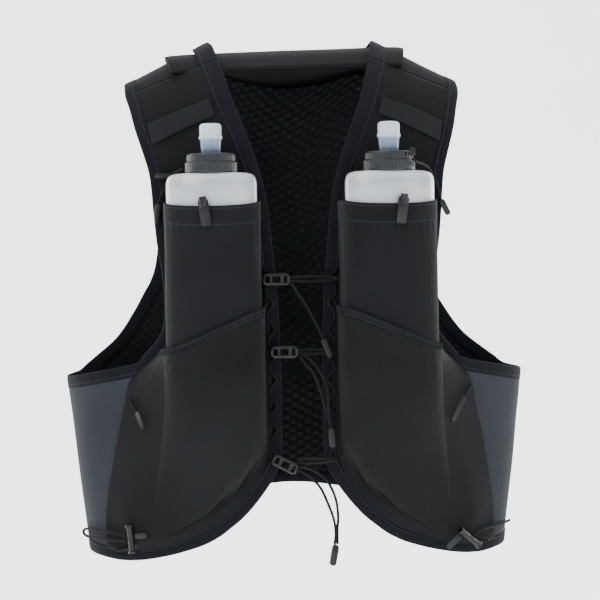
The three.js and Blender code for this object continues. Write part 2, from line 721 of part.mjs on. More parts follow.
const armSide = roundTheSide(slateCorner, backSeamTop, ARMPIT_DIP);
const armBack = smoothChain([backSeamTop, ...ARM_BACK_EDGE.map(placeOf)], STEPS);
const armEdge = [...armFront, ...armSide.slice(1), ...armBack.slice(1)];
const armInset = insetChain(armEdge, armEdge.map(() => ARM_BAND), -1, true);
const armSideStart = armFront.length - 1;
const armBackStart = armSideStart + SIDE_COLUMNS;

const hemCorner = placeOf(HEM_CORNER);
const neckEdge = smoothChain(NECK_EDGE.map(placeOf), STEPS);
const frontEdge = smoothChain([...frontPlaces.map((row) => row.inner), hemCorner], STEPS);
const hemSide = roundTheSide(hemCorner, backSeamFoot, 0);
const BACK_COLUMNS = 6;
const hemBack = Array.from({ length: BACK_COLUMNS + 1 }, (_, column) => {
  const share = column / BACK_COLUMNS;
  const down = lerp(BACK_SEAM_FOOT, BACK_HEM_CENTRE, smoothstep(share, -0.1, 1.1));
  return placeAtTurn(lerp(SIDE_SEAM_TURN, Math.PI, share), down);
});
const neckBands = smoothValues(NECK_EDGE.map((row) => row.band), STEPS);
const frontBands = smoothValues([...FRONT_ROWS.map((row) => row.band), HEM_CORNER.band], STEPS);
const rimEdge = [...neckEdge, ...frontEdge.slice(1), ...hemSide.slice(1), ...hemBack.slice(1)];
const rimBands = rimEdge.map((_, index) => {
  if (index < neckBands.length) return RIM_BAND * neckBands[index];
  const spot = Math.min(index - neckBands.length + 1, frontBands.length - 1);
  return RIM_BAND * frontBands[spot];
});
const rimInset = insetChain(rimEdge, rimBands, 1, false);
const frontStart = neckEdge.length - 1;
const hemStart = frontStart + frontEdge.length - 1;
const hemBackStart = hemStart + SIDE_COLUMNS;
rimInset[hemStart] = slateSeam[slateSeam.length - 1];
rimInset[0].turn = Math.PI;
rimInset[rimInset.length - 1].turn = Math.PI;

const inFrontOf = ({ turn, roll }) =>
  roll < 0 ? { turn: Math.PI - turn, roll: -roll } : { turn, roll };
const frontInset = rimInset.slice(frontStart, hemStart).map(inFrontOf);
const panelOuter = [...armInset.slice(0, armSideStart), ...slateSeam];
panelOuter[0] = inFrontOf(panelOuter[0]);
panelOuter[armSideStart] = inFrontOf(armInset[armSideStart]);

// Fronts

const FRONT_COLUMNS = 5;
const frontRows = ruledRows(panelOuter.slice(0, frontInset.length), frontInset, FRONT_COLUMNS);
addPair('front_panel', shell([trimmed(frontRows, 'first', 'last', 'start', 'end')], 0, CLOTH), 'cloth');

// Sides

const seamInset = [armInset[armSideStart], ...slateSeam.slice(1)];
const sideRowsCount = seamInset.length - 1;
const backSeam = seamInset.map((_, index) => mixPlaces(
  armInset[armBackStart], rimInset[hemBackStart], index / sideRowsCount));
const sideRows = patchRows(seamInset, backSeam,
  armInset.slice(armSideStart, armBackStart + 1), rimInset.slice(hemStart, hemBackStart + 1));
addPair('side_panel', shell([trimmed(sideRows, 'first', 'last', 'start', 'end')], 0, CLOTH), 'slate');

// Back

const backOuter = armInset.slice(armBackStart).reverse();
const neckInset = rimInset.slice(0, frontStart + 1).reverse();
const centrePlaces = BACK_CENTRE_DOWNS.map((down) => placeAtTurn(Math.PI, down));
const centreChain = smoothChain([neckInset[neckInset.length - 1], ...centrePlaces], STEPS);
const backInner = [...neckInset, ...centreChain.slice(1)];
const backUpper = ruledRows(backOuter, backInner.slice(0, backOuter.length), BACK_COLUMNS);
const backLowerTop = backUpper.length - 1;
const backCentre = backInner[backLowerTop];
const lowerOuter = backSeam.filter((_, index) => index % STEPS === 0);
const hemCentreInset = rimInset[rimInset.length - 1];
const lowerInner = lowerOuter.map((_, index) =>
  mixPlaces(backCentre, hemCentreInset, index / (lowerOuter.length - 1)));
const lowerFirst = Array.from({ length: BACK_COLUMNS + 1 }, (_, column) =>
  mixPlaces(backOuter[backLowerTop], backCentre, column / BACK_COLUMNS));
const lowerLast = rimInset.slice(hemBackStart);
const backLower = patchRows(lowerOuter, lowerInner, lowerFirst, lowerLast);
const backRows = trimmed([...backUpper, ...backLower.slice(1)], 'first', 'last', 'start');
const neckRows = neckInset.length - 1;
for (let row = 0; row < neckRows; row += 1) {
  backRows[row][BACK_COLUMNS] = moved(backRows[row][BACK_COLUMNS], backRows[row][BACK_COLUMNS - 1], SEAM);
}
backRows[neckRows][BACK_COLUMNS] =
  moved(backRows[neckRows][BACK_COLUMNS], backRows[neckRows + 1][BACK_COLUMNS], SEAM);
add('back_panel', shell([backRows, mirroredRows(backRows)], 0, CLOTH), 'cloth');

// Bindings

const pairedRows = (edge, inset) => edge.map((place, index) => [vertexAt(place), vertexAt(inset[index])]);
const armRows = pairedRows(armEdge, armInset);
armRows[armRows.length - 1] = armRows[0];
addPair('armhole_binding', shell([armRows], -BAND_IN, BAND_OUT), 'binding');

const rimRows = pairedRows(rimEdge, rimInset);
const neckRimRows = trimmed(rimRows.slice(0, frontStart + 1), 'last');
add('neck_binding', shell([neckRimRows, mirroredRows(neckRimRows)], -BAND_IN, BAND_OUT), 'binding');
const frontRimRows = trimmed(rimRows.slice(frontStart, hemStart + 1), 'last');
addPair('front_binding', shell([frontRimRows], -BAND_IN, BAND_OUT), 'binding');
const hemRows = trimmed(rimRows.slice(hemStart), 'first');
add('hem_band', shell([hemRows, mirroredRows(hemRows)], -BAND_IN, BAND_OUT), 'binding');

// Inner mesh of the back

const meshSide = MESH_SIDE.map(placeOf);
const meshTop = MESH_TOP.map(placeOf);
const meshFoot = placeOf(MESH_CENTRE_FOOT);
const meshCentreTop = meshTop[meshTop.length - 1];
const meshCentre = meshSide.map((_, index) =>
  mixPlaces(meshCentreTop, meshFoot, index / (meshSide.length - 1)));
const meshLast = meshTop.map((_, column) => {
  const share = column / (meshTop.length - 1);
  const eased = smoothstep(share, -0.1, 1.1);
  const from = meshSide[meshSide.length - 1];
  const z = lerp(bodyPoint(from).z, bodyPoint(meshFoot).z, eased);
  const turn = lerp(from.turn, meshFoot.turn, share);
  return { turn, roll: rollFor(ridgeAt(turn) - z) };
});
const meshRows = lifted(patchRows(meshSide, meshCentre, meshTop, meshLast), (across, down) => {
  const slack = Math.sqrt(Math.min(1, 4 * across)) * Math.min(1, 4 * (1 - down));
  return -MESH_EDGE - (MESH_INSET - MESH_EDGE) * slack;
});
add('back_mesh', shell([meshRows, mirroredRows(meshRows)], -MESH_CLOTH, 0), 'mesh');

// Where the flasks stand: across and forward of the chord under a pocket

const frontPoint = (x, z) =>
  bodyPoint(placeOf({ across: x / HALF_WIDTH, down: -z / LENGTH, sheet: 'front' }));
const flaskTop = -FLASK_TOP_DROP;
const flaskMiddle = flaskTop - FLASK_LENGTH / 2;
const chordStart = frontPoint(FLASK_ACROSS - FLASK_HALF_WIDTH, flaskMiddle);
const chordEnd = frontPoint(FLASK_ACROSS + FLASK_HALF_WIDTH, flaskMiddle);
const pocketAcross = chordEnd.clone().sub(chordStart).normalize();
const pocketForward = pocketAcross.clone().cross(new THREE.Vector3(0, 0, 1));
const chordMiddle = chordStart.clone().lerp(chordEnd, 0.5);
const chordSag = frontPoint(FLASK_ACROSS, flaskMiddle).sub(chordMiddle).dot(pocketForward);
const axisForward = chordSag + CLOTH + FIT + CAP_RADIUS;

function inPocket(across, forward, z) {
  const spot = chordMiddle.clone().addScaledVector(pocketAcross, across)
    .addScaledVector(pocketForward, forward);
  return spot.setZ(z);
}

const flaskAxis = inPocket(0, axisForward, flaskTop);

// Flasks, caps and bite valves

const flaskAngles = [...WRAP_ANGLES, ...WRAP_ANGLES.slice(1, -1).map((angle) => -angle).reverse()];
const flaskRing = (halfWidth, halfDepth, z) => flaskAngles.map((angle) => inPocket(
  halfWidth * Math.cos(degToRad(angle)), axisForward + halfDepth * Math.sin(degToRad(angle)), z));
const neckRings = [FLASK_NECK_TALL, 0].map((height) =>
  flaskRing(FLASK_NECK_RADIUS, FLASK_NECK_RADIUS, flaskTop + height));
const bodyRings = FLASK_SECTIONS.map(({ down, wide, deep }) => flaskRing(
  FLASK_HALF_WIDTH * wide, FLASK_HALF_DEPTH * deep, flaskTop - FLASK_LENGTH * down));
addPair('flask', loft([...neckRings, ...bodyRings]), 'flask');

const capFoot = flaskTop + FIT;
const capBore = FLASK_NECK_RADIUS + 2 * FIT;
const capStep = CAP_RADIUS - CAP_WALL / 2;
const capGeometry = lathe([
  [0, FLASK_NECK_TALL + FIT],
  [capBore, FLASK_NECK_TALL + FIT],
  [capBore, 0],
  [CAP_RADIUS - 0.8, 0],
  [CAP_RADIUS, 0.8],
  [CAP_RADIUS, CAP_TALL * 0.55],
  [capStep, CAP_TALL * 0.6],
  [capStep, CAP_TALL * 0.9],
  [capStep - 1.5, CAP_TALL],
  [0, CAP_TALL],
], 16).translate(flaskAxis.x, flaskAxis.y, capFoot);
addPair('flask_cap', capGeometry, 'cap');

const valveGeometry = lathe([
  [0, 0],
  [VALVE_RADIUS * 0.8, 0],
  [VALVE_RADIUS * 0.9, VALVE_TALL * 0.46],
  [VALVE_RADIUS, VALVE_TALL * 0.5],
  [VALVE_RADIUS, VALVE_TALL * 0.56],
  [VALVE_RADIUS * 0.94, VALVE_TALL * 0.6],
  [VALVE_RADIUS * 0.94, VALVE_TALL * 0.9],
  [VALVE_RADIUS * 0.7, VALVE_TALL],
  [0, VALVE_TALL * 0.97],
], 12).translate(flaskAxis.x, flaskAxis.y, capFoot + CAP_TALL + FIT);
addPair('bite_valve', valveGeometry, 'valve');

// Flask pockets

// Points round the flask at a distance from it, from the foot inward of it to the foot outward
function wrapPoints(ease) {
  const halfWidth = FLASK_HALF_WIDTH + ease;
  const halfDepth = FLASK_HALF_DEPTH + ease;
  const middle = (POCKET_BASE + axisForward) / 2;
  const arc = WRAP_ANGLES.map((angle) => ({
    across: halfWidth * Math.cos(degToRad(angle)),
    forward: axisForward + halfDepth * Math.sin(degToRad(angle)),
  }));
  return {
    foot: [{ across: -halfWidth, forward: POCKET_BASE }, { across: -halfWidth, forward: middle }],
    arc,
    end: [{ across: halfWidth, forward: middle }, { across: halfWidth, forward: POCKET_BASE }],
  };
}

const sleeveHeight = FLASK_TOP_DROP + FLASK_LENGTH + POCKET_TAIL - POCKET_TOP_DROP;
const sleeve = wrapPoints(POCKET_EASE);
const sleevePoints = [...sleeve.foot, ...sleeve.arc, ...sleeve.end];
const sleeveRows = SLEEVE_SECTIONS.map(({ down, wide, rise }) => sleevePoints.map((spot) => {
  const sag = POCKET_SAG * (1 - down) * Math.max(0, (spot.forward - axisForward) / FLASK_HALF_DEPTH);
  const z = -POCKET_TOP_DROP - sleeveHeight * down - sag;
  return inPocket(spot.across * wide, POCKET_BASE + (spot.forward - POCKET_BASE) * rise, z);
}));
addPair('flask_pocket', shell([withNormals(sleeveRows)], 0, CLOTH), 'cloth');

// Lower pockets

// A chain's places by their distance along it from a given spot
function alongChain(chain, spot) {
  const places = [chainAt(chain, spot), ...chain.slice(Math.floor(spot) + 1)];
  const points = places.map(bodyPoint);
  const lengths = [0];
  points.slice(1).forEach((point, index) => lengths.push(lengths[index] + point.distanceTo(points[index])));
  const total = lengths[lengths.length - 1];
  const at = (distance) => {
    const next = clamp(lengths.findIndex((length) => length >= distance - 1e-6), 1, places.length - 1);
    const share = (distance - lengths[next - 1]) / (lengths[next] - lengths[next - 1]);
    return mixPlaces(places[next - 1], places[next], share);
  };
  return { total, at };
}

const innerSide = alongChain(frontInset, POCKET_INNER_ROW * STEPS);
const outerSide = alongChain(panelOuter, POCKET_OUTER_ROW * STEPS);
const LOWER_ROWS = 11;
const drape = wrapPoints(POCKET_EASE + CLOTH + LAYER_GAP);
const drapePoints = [...drape.foot, ...drape.arc];
const drapeEdge = drapePoints[drapePoints.length - 1];

function lowerPocketRow(inner, outer) {
  const innerVertex = vertexAt(inner);
  const outerVertex = vertexAt(outer);
  const span = outerVertex.point.x - innerVertex.point.x;
  const outerBase = outerVertex.point.clone().addScaledVector(outerVertex.normal, LAYER_BASE);
  const slope = inPocket(drapeEdge.across, drapeEdge.forward, 0).lerp(outerBase, DRAPE_SLOPE);
  const full = [...drapePoints.map(({ across, forward }) => inPocket(across, forward, 0)), slope];
  const inside = full.map((spot, column) => {
    const reach = spot.x - innerVertex.point.x;
    const even = (column + 1) / (full.length + 1);
    const share = clamp(reach / span, even * COLUMN_EASE, 1 - (1 - even) * COLUMN_EASE);
    const { point, normal } = vertexAt(mixPlaces(inner, outer, share));
    const puff = POCKET_PUFF * Math.sin(Math.PI * share);
    const flat = point.clone().addScaledVector(normal, LAYER_BASE + puff);
    const draped = 1 - smoothstep(-point.z, DRAPE_START, DRAPE_END);
    return flat.lerp(spot.setZ(point.z), draped * clamp(reach / DRAPE_REACH, 0, 1));
  });
  const edge = ({ point, normal }) => point.clone().addScaledVector(normal, LAYER_BASE);
  return [edge(innerVertex), ...inside, edge(outerVertex)];
}

const lowerRows = Array.from({ length: LOWER_ROWS + 1 }, (_, row) => {
  const share = (row - 1) / (LOWER_ROWS - 1);
  const distance = (total) => (row === 0 ? 0 : lerp(HEM_TALL, total, share));
  return lowerPocketRow(innerSide.at(distance(innerSide.total)), outerSide.at(distance(outerSide.total)));
});
const lowerVertices = withNormals(lowerRows);
const pocketRows = trimmed(lowerVertices.slice(1), 'first', 'last', 'start', 'end');
addPair('lower_pocket', shell([pocketRows], 0, CLOTH), 'cloth');
const pocketHemRows = trimmed(lowerVertices.slice(0, 2), 'last', 'start', 'end');
addPair('pocket_hem', shell([pocketHemRows], 0, CLOTH + HEM_RISE), 'elastic');

// Webbing loops on the shoulders

const [loopTop, loopTopEnd, loopFoot, loopFootEnd] = LOOP_CORNERS.map(placeOf);
const LOOP_COLUMNS = 6;
const loopRows = [[loopTop, loopTopEnd], [loopFoot, loopFootEnd]].map(([from, to]) =>
  Array.from({ length: LOOP_COLUMNS + 1 }, (_, column) =>
    vertexAt(mixPlaces(from, to, column / LOOP_COLUMNS))));
const archedRows = lifted(loopRows, (across) => LAYER_BASE + LOOP_ARCH * Math.sin(Math.PI * across));
addPair('gear_loop', shell([archedRows], 0, CLOTH), 'webbing');

// Small hard pieces

function roundedOutline(width, length, corner) {
  const [right, top] = [width / 2 - corner, length / 2 - corner];
  const outline = new THREE.Shape();
  outline.absarc(right, top, corner, 0, QUARTER);
  outline.absarc(-right, top, corner, QUARTER, 2 * QUARTER);
  outline.absarc(-right, -top, corner, 2 * QUARTER, 3 * QUARTER);
  outline.absarc(right, -top, corner, 3 * QUARTER, 4 * QUARTER);
  return outline;
}

const extruded = (outline, thick, cornerSteps) => new THREE.ExtrudeGeometry(outline, {
  depth: thick, bevelEnabled: false, curveSegments: cornerSteps,
}).translate(0, 0, -thick / 2);

// A plate from one point to another, its flat side facing forward
function plateBetween(from, to, width, thick) {
  const [start, end] = [new THREE.Vector3(...from), new THREE.Vector3(...to)];
  const along = end.clone().sub(start);
  const length = along.length();
  along.normalize();
  const across = new THREE.Vector3(0, -1, 0).cross(along).normalize();
  const basis = new THREE.Matrix4().makeBasis(across, along, across.clone().cross(along));
  const outline = roundedOutline(width, length, Math.min(width, length) * 0.35);
  return extruded(outline, thick, 1).applyMatrix4(basis)
    .translate(...start.lerp(end, 0.5).toArray());
}

// A cord hook seen from the front: an eye for the lacing, a window and a slot for the cord
function hookGeometry() {
  const plate = extruded(roundedOutline(HOOK_LENGTH, HOOK_WIDTH, HOOK_CORNER), HOOK_THICK, 1);
  const windows = HOOK_WINDOWS.map(({ from, to, tall }) =>
    new THREE.BoxGeometry(to - from, tall, 2 * HOOK_THICK).translate((from + to) / 2, 0, 0));
  return cut(plate, windows).rotateX(QUARTER);
}

const rimFace = (across, z) => frontPoint(Math.abs(across), z).y - BAND_OUT;

// Lacing along the front edges, with a loop over the binding at every pitch

const edgePoints = frontEdge.map(bodyPoint);
function edgeAcross(z) {
  const next = Math.max(1, edgePoints.findIndex((point) => point.z < z));
  const [above, below] = [edgePoints[next - 1], edgePoints[next]];
  return lerp(above.x, below.x, (z - above.z) / (below.z - above.z));
}

const lacePoints = [];
for (let loop = 0; loop < LACE_LOOPS; loop += 1) {
  const middle = -LACE_TOP_DROP - LACE_PITCH * loop;
  const spots = [[0.34, LACE_INSET], [0, LACE_INSET - LACE_REACH], [-0.34, LACE_INSET]];
  for (const [pitches, inset] of spots) {
    const z = middle + LACE_PITCH * pitches;
    const across = edgeAcross(z) + inset;
    lacePoints.push(new THREE.Vector3(across, rimFace(across, z) - FIT - CORD / 2, z));
  }
}
addPair('lacing', tube(lacePoints, CORD / 2, 6), 'cord');

// Sternum fastenings: a hook, its two taut strands with their knot, and the free tails

const hookShape = hookGeometry();
for (const { name, across, drop, tilt, cordStart, cordDrop, knot } of FASTENINGS) {
  const face = rimFace(across, -drop) - FIT - CORD - FIT;
  const hook = add(`sternum_hook_${name}`, hookShape, 'plastic');
  hook.position.set(across, face - HOOK_THICK / 2, -drop);
  hook.rotation.y = degToRad(tilt);
  const knotForward = rimFace(knot, -cordDrop) - CORD - FIT - KNOT_RADIUS;
  const ball = new THREE.SphereGeometry(KNOT_RADIUS, 7, 5).translate(knot, knotForward, -cordDrop);
  const strands = [-1, 1].map((side) => {
    const z = -cordDrop + side * (CORD / 2 + FIT / 2);
    const start = new THREE.Vector3(cordStart, face - HOOK_THICK / 2, z);
    return tube([start, new THREE.Vector3(knot, knotForward, z)], CORD / 2);
  });
  add(`sternum_cord_${name}`, joined([ball, ...strands]), 'cord');
}

function addCord(name, points) {
  const path = smoothPath(points, 1);
  const curve = new THREE.CatmullRomCurve3(path);
  const steps = Math.ceil(curve.getLength() / (CORD * 3));
  add(name, tube(curve.getSpacedPoints(steps), CORD / 2), 'cord');
}

for (const [name, points] of Object.entries(CORD_ROUTES)) addCord(name, points);
for (const { name, cords, to, wide, thick } of CORD_ENDS) {
  const ends = cords.map((cord) => new THREE.Vector3(...CORD_ROUTES[cord].at(-1)));
  const start = ends.reduce((sum, end) => sum.add(end)).divideScalar(ends.length);
  const along = new THREE.Vector3(...to).sub(start).normalize();
  add(name, plateBetween(start.addScaledVector(along, FIT).toArray(), to, wide, thick), 'plastic');
}
for (const { name, from, to, wide, thick } of CORD_HOLDERS) {
  add(name, plateBetween(from, to, wide, thick), 'plastic');
}

// Pole toggles

const toggleGeometry = lathe([
  [0, -TOGGLE_LENGTH / 2],
  [TOGGLE_RADIUS + 1, -TOGGLE_LENGTH / 2],
  [TOGGLE_RADIUS + 1, -TOGGLE_LENGTH / 2 + 1.6],
  [TOGGLE_RADIUS, -TOGGLE_LENGTH / 2 + 2.2],
  [TOGGLE_RADIUS, TOGGLE_LENGTH / 2 - 2.2],
  [TOGGLE_RADIUS + 1, TOGGLE_LENGTH / 2 - 1.6],
  [TOGGLE_RADIUS + 1, TOGGLE_LENGTH / 2],
  [0, TOGGLE_LENGTH / 2],
], 8);
for (const { name, from, to } of TOGGLES) {
  const [start, end] = [new THREE.Vector3(...from), new THREE.Vector3(...to)];
  const toggle = add(name, toggleGeometry, 'plastic');
  toggle.position.copy(start).lerp(end, 0.5);
  toggle.quaternion.setFromUnitVectors(new THREE.Vector3(0, 0, 1), start.sub(end).normalize());
}

// Clips on the flask pockets' hems

const clipForward = axisForward + FLASK_HALF_DEPTH + POCKET_EASE + CLOTH + FIT;
const clipPlate = extruded(roundedOutline(CLIP_WIDTH, CLIP_LENGTH, 2), CLIP_THICK, 1);
const clipBarrel = lathe([[0, 0], [3.4, 0], [3.4, 9], [0, 9]], 8)
  .rotateX(-QUARTER).translate(0, CLIP_LENGTH / 2 - 7, CLIP_THICK / 2 + 0.6);
const clipGeometry = joined([clipPlate, clipBarrel]).rotateZ(degToRad(-CLIP_TILT));
const clipBasis = new THREE.Matrix4().makeBasis(
  pocketAcross, new THREE.Vector3(0, 0, 1), pocketForward);
const clipSpot = inPocket(CLIP_ACROSS, clipForward + CLIP_THICK / 2,
  -POCKET_TOP_DROP - POCKET_SAG - CLIP_LENGTH / 2 + CLIP_RISE);
addPair('pocket_clip', clipGeometry.applyMatrix4(clipBasis).translate(...clipSpot.toArray()), 'plastic');

export default vest;
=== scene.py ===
import math

import bmesh
import bpy
import numpy as np
from mathutils import Matrix


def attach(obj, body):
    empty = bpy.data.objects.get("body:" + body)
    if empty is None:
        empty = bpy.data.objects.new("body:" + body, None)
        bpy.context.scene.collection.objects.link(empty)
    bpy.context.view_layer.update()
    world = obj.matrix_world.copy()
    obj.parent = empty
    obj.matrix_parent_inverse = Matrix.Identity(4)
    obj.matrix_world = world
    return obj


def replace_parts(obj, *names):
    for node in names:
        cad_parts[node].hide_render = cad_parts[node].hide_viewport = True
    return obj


bl_info = {
    "name": "Running hydration vest",
    "version": (1, 0, 0),
    "blender": (4, 5, 0),
    "location": "View3D > Sidebar > Vest",
    "description": "Dresses the vest: cloth, bindings, flasks, cords and fittings",
    "category": "Add Mesh",
}

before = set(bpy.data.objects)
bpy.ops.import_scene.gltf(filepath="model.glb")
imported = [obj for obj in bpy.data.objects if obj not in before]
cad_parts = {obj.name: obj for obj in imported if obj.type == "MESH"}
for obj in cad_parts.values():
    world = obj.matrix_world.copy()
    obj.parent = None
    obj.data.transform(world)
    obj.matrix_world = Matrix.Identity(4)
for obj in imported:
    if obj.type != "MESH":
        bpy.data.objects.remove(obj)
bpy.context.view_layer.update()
BODY = "vest"

MM = 0.001
MIRROR = np.array([-1, 1, 1])
SIDES = (("right", np.ones(3)), ("left", MIRROR))

# Body form in millimetres, as the solids have it
LENGTH, HALF_WIDTH, HEM_HALF_WIDTH = 460, 205, 186
FRONT_DEPTH, BACK_DEPTH = 70, 62
POWER = 2 / 2.3  # of a superellipse whose squareness is 2.3
ARMPIT_DROP, NECK_HALF, NECK_RISE = 299, 77.5, 1.8
SHOULDER_SLOPE, SHOULDER_ROLL = 0.5, 110
QUARTER = math.pi / 2
NORMAL_STEP = 0.002  # radians to each side of a place, for its normal

# Cloth, bindings, flasks and pockets
CLOTH, BAND_OUT, LAYER_GAP = 1.5, 2.0, 0.9
ARM_BAND, RIM_BAND, HEM_TALL = 10, 16, 8
LAYER_BASE = CLOTH + LAYER_GAP
SIDE_SEAM_TURN = math.radians(110)
ARMPIT_DIP = 7
HEM_REACH = 0.1  # how far the curve of the hem behind runs past its ends
MESH_INSET, MESH_EDGE, MESH_CLOTH, MESH_BACK, MESH_FACE = 3.5, 0.9, 2, 0.4, 0.5
FLASK_ACROSS, FLASK_HALF_WIDTH, FLASK_HALF_DEPTH = 76, 40, 23
FLASK_TOP_DROP, FLASK_LENGTH, NECK_RADIUS, NECK_TALL = 118, 175, 18.5, 12
CAP_RADIUS, CAP_TALL, VALVE_RADIUS, VALVE_TALL, FIT = 23, 17, 10.4, 26, 0.4
POCKET_EASE, POCKET_TOP_DROP, POCKET_BASE, POCKET_TAIL, POCKET_SAG = 0.6, 143, 2.8, 14, 4
POCKET_PUFF, POCKET_INNER_ROW, POCKET_OUTER_ROW = 7, 5.25, 6.75
DRAPE_START, DRAPE_END, DRAPE_SLOPE, DRAPE_REACH, COLUMN_EASE = 298, 440, 0.45, 2, 0.35
STEPS, SIDE_COLUMNS, BACK_COLUMNS, FRONT_COLUMNS, LOWER_ROWS = 2, 4, 6, 5, 11
SLATE_ROW = 8
BACK_SEAM_TOP, BACK_SEAM_FOOT, BACK_HEM_CENTRE = 0.632, 0.97, 0.864
LOOP_ARCH, LOOP_COLUMNS, HEM_RISE = 2.4, 6, 0.4
CORD, CORD_STEPS, LACE_STEPS, TUBE_SIDES = 2.4, 5, 6, 12
STRAND_POINTS, STRAND_APART, STRAND_BOW, HOOK_HALF = 20, 1.4, 0.9, 1.5
KNOT_RADIUS, COIL_RADIUS, COIL_RISE, COIL_TURNS, COIL_POINTS = 3.2, 1.6, 0.11, 2.5, 60
BEVEL, BACKING = 0.35, 0.6  # of hard pieces' edges; share of a relief seen on the cloth's inside
WRAP_ANGLES = np.radians([180, 160, 140, 115, 90, 65, 40, 20, 0])

# Steps from one point of a solid to the next, down and across
SPANS = {
    "back_panel": (4, 6), "front_panel": (4, 6), "side_panel": (5, 8), "back_mesh": (26, 28),
    "flask_pocket": (16, 14), "lower_pocket": (14, 16), "pocket_hem": (8, 28), "gear_loop": (8, 8),
}
# Soft rolls: two waves that cross, a slanting one, their shares, the slant and the fade per metre
ROLL_WAVES, ROLL_SHARES, ROLL_SLANT, ROLL_FADE = (6.3, 3.1, 4.4), (0.6, 0.4), 0.7, 40
# Reliefs: metres along the cloth, then millimetres high
SLEEVE_HEM, SLEEVE_HEM_EDGE, SLEEVE_HEM_HIGH = 0.0172, 0.0005, 0.45
PUCKER_PITCH, PUCKER_DOWN, PUCKER_FADE, PUCKER_HIGH = 0.0075, 0.021, 0.007, 0.22
GATHER_PITCH, GATHER_WANDER, GATHER_FADE, GATHER_HIGH = 0.011, 0.05, 0.012, 0.3
ELASTIC_PITCH, ELASTIC_HIGH = 0.0022, 0.28
KNIT_CELL, KNIT_HIGH, KNIT_PRINT, HEX_ROWS = 0.009, 0.35, 0.008, 0.866
# Ribs of a cap: how many, how deep, from and to which height, beyond which radius
CAP_RIBS = (48, 0.45, 1, 15.5, 15)
FLASK_SIDES, CAP_SIDES, LATHE_SIDES = 96, 192, 64

# Stage, in metres and watts
CAMERA_TURN, CAMERA_TILT, SENSOR = math.radians(-5), math.radians(1), 36
CAMERA_AIM, LAMP_AIM = np.array([0.003, -0.03, -0.2304]), np.array([0, 0, -0.23])
LAMPS = {
    "key": ((-1.5, -1.8, 1.2), 1.6, 46), "fill": ((1.7, -1.6, 0.3), 1.8, 18),
    "above": ((0, 0.5, 1.8), 1.2, 26), "rim_left": ((-1.2, 0.8, 0), 0.9, 14),
    "rim_right": ((1.2, 0.8, 0), 0.9, 14),
}
SWEEP_FLOOR, SWEEP_NEAR, SWEEP_TOP, SWEEP_HALF = -0.62, -6, 4, 5
BEND_START, BEND_RADIUS, BEND_POINTS = 0.6, 1.2, 12

# Depth shares down the body: down, front, back
DEPTHS = np.array([(0, 0.95, 0.95), (0.3, 1, 1), (0.65, 0.99, 0.95), (1, 0.92, 0.86)])
# Fronts: outer across and down, inner across and down, band
FRONT_ROWS = [
    (0.733, 0.1, 0.33, 0.031, 1), (0.696, 0.168, 0.278, 0.11, 0.95),
    (0.644, 0.2485, 0.198, 0.207, 0.85), (0.629, 0.315, 0.146, 0.295, 0.72),
    (0.615, 0.3835, 0.122, 0.3835, 0.7), (0.588, 0.4716, 0.102, 0.481, 0.7),
    (0.595, 0.55, 0.093, 0.579, 0.7), (0.65, 0.589, 0.09, 0.638, 0.7),
    (0.712, 0.618, 0.089, 0.687, 0.7), (0.751, 0.687, 0.09, 0.736, 0.7),
    (0.785, 0.755, 0.091, 0.787, 0.7), (0.815, 0.824, 0.1195, 0.837, 0.68),
    (0.836, 0.882, 0.2185, 0.898, 0.62), (0.842, 0.92, 0.317, 0.939, 0.6),
    (0.842, 0.95, 0.447, 0.973, 0.6), (0.836, 0.975, 0.683, 0.998, 0.6),
]
HEM_CORNER = (0.829, 0.996, "front", 0.6)
NECK_EDGE = [
    (0, 0.0395, "back", 0.62), (0.13, 0.036, "back", 0.62), (0.25, 0.024, "back", 0.66),
    (0.33, 0.0117, "back", 0.75), (0.36, 0, "ridge", 0.9), (0.33, 0.031, "over", 1),
]
ARM_BACK_EDGE = [
    (0.86, 0.6, "back"), (0.78, 0.569, "back"), (0.717, 0.53, "back"), (0.654, 0.4814, "back"),
    (0.6, 0.4266, "back"), (0.575, 0.305, "back"), (0.605, 0.207, "back"), (0.673, 0.129, "back"),
    (0.72, 0.095, "back"), (0.733, 0, "ridge"), (0.733, 0.1, "over"),
]
BACK_CENTRE_DOWNS = [0.17, 0.3, 0.4, 0.48, 0.55, 0.61]
FLASK_SECTIONS = [
    (0, 0.8, 0.85), (0.012, 0.93, 0.93), (0.04, 0.99, 0.96), (0.09, 1, 1), (0.3, 0.99, 1),
    (0.85, 0.97, 0.95), (0.95, 0.88, 0.75), (0.99, 0.7, 0.45), (1, 0.5, 0.25),
]
SLEEVE_SECTIONS = [
    (0, 1, 1), (0.11, 1, 1), (0.5, 1, 1), (0.85, 1, 1), (0.93, 0.97, 0.93),
    (0.98, 0.85, 0.6), (1, 0.7, 0.25),
]
LOOP_CORNERS = [(0.375, 0.112), (0.639, 0.159), (0.355, 0.1435), (0.622, 0.1974)]
MESH_TOP = [(0.6, 0.125), (0.46, 0.072), (0.33, 0.046), (0.16, 0.064), (0, 0.072)]
MESH_SIDE = [
    (0.6, 0.125), (0.545, 0.2), (0.51, 0.305), (0.53, 0.425), (0.6, 0.5), (0.71, 0.58),
    (0.85, 0.65), (0.84, 0.78), (0.82, 0.905),
]
MESH_CENTRE_FOOT = (0, 0.838)

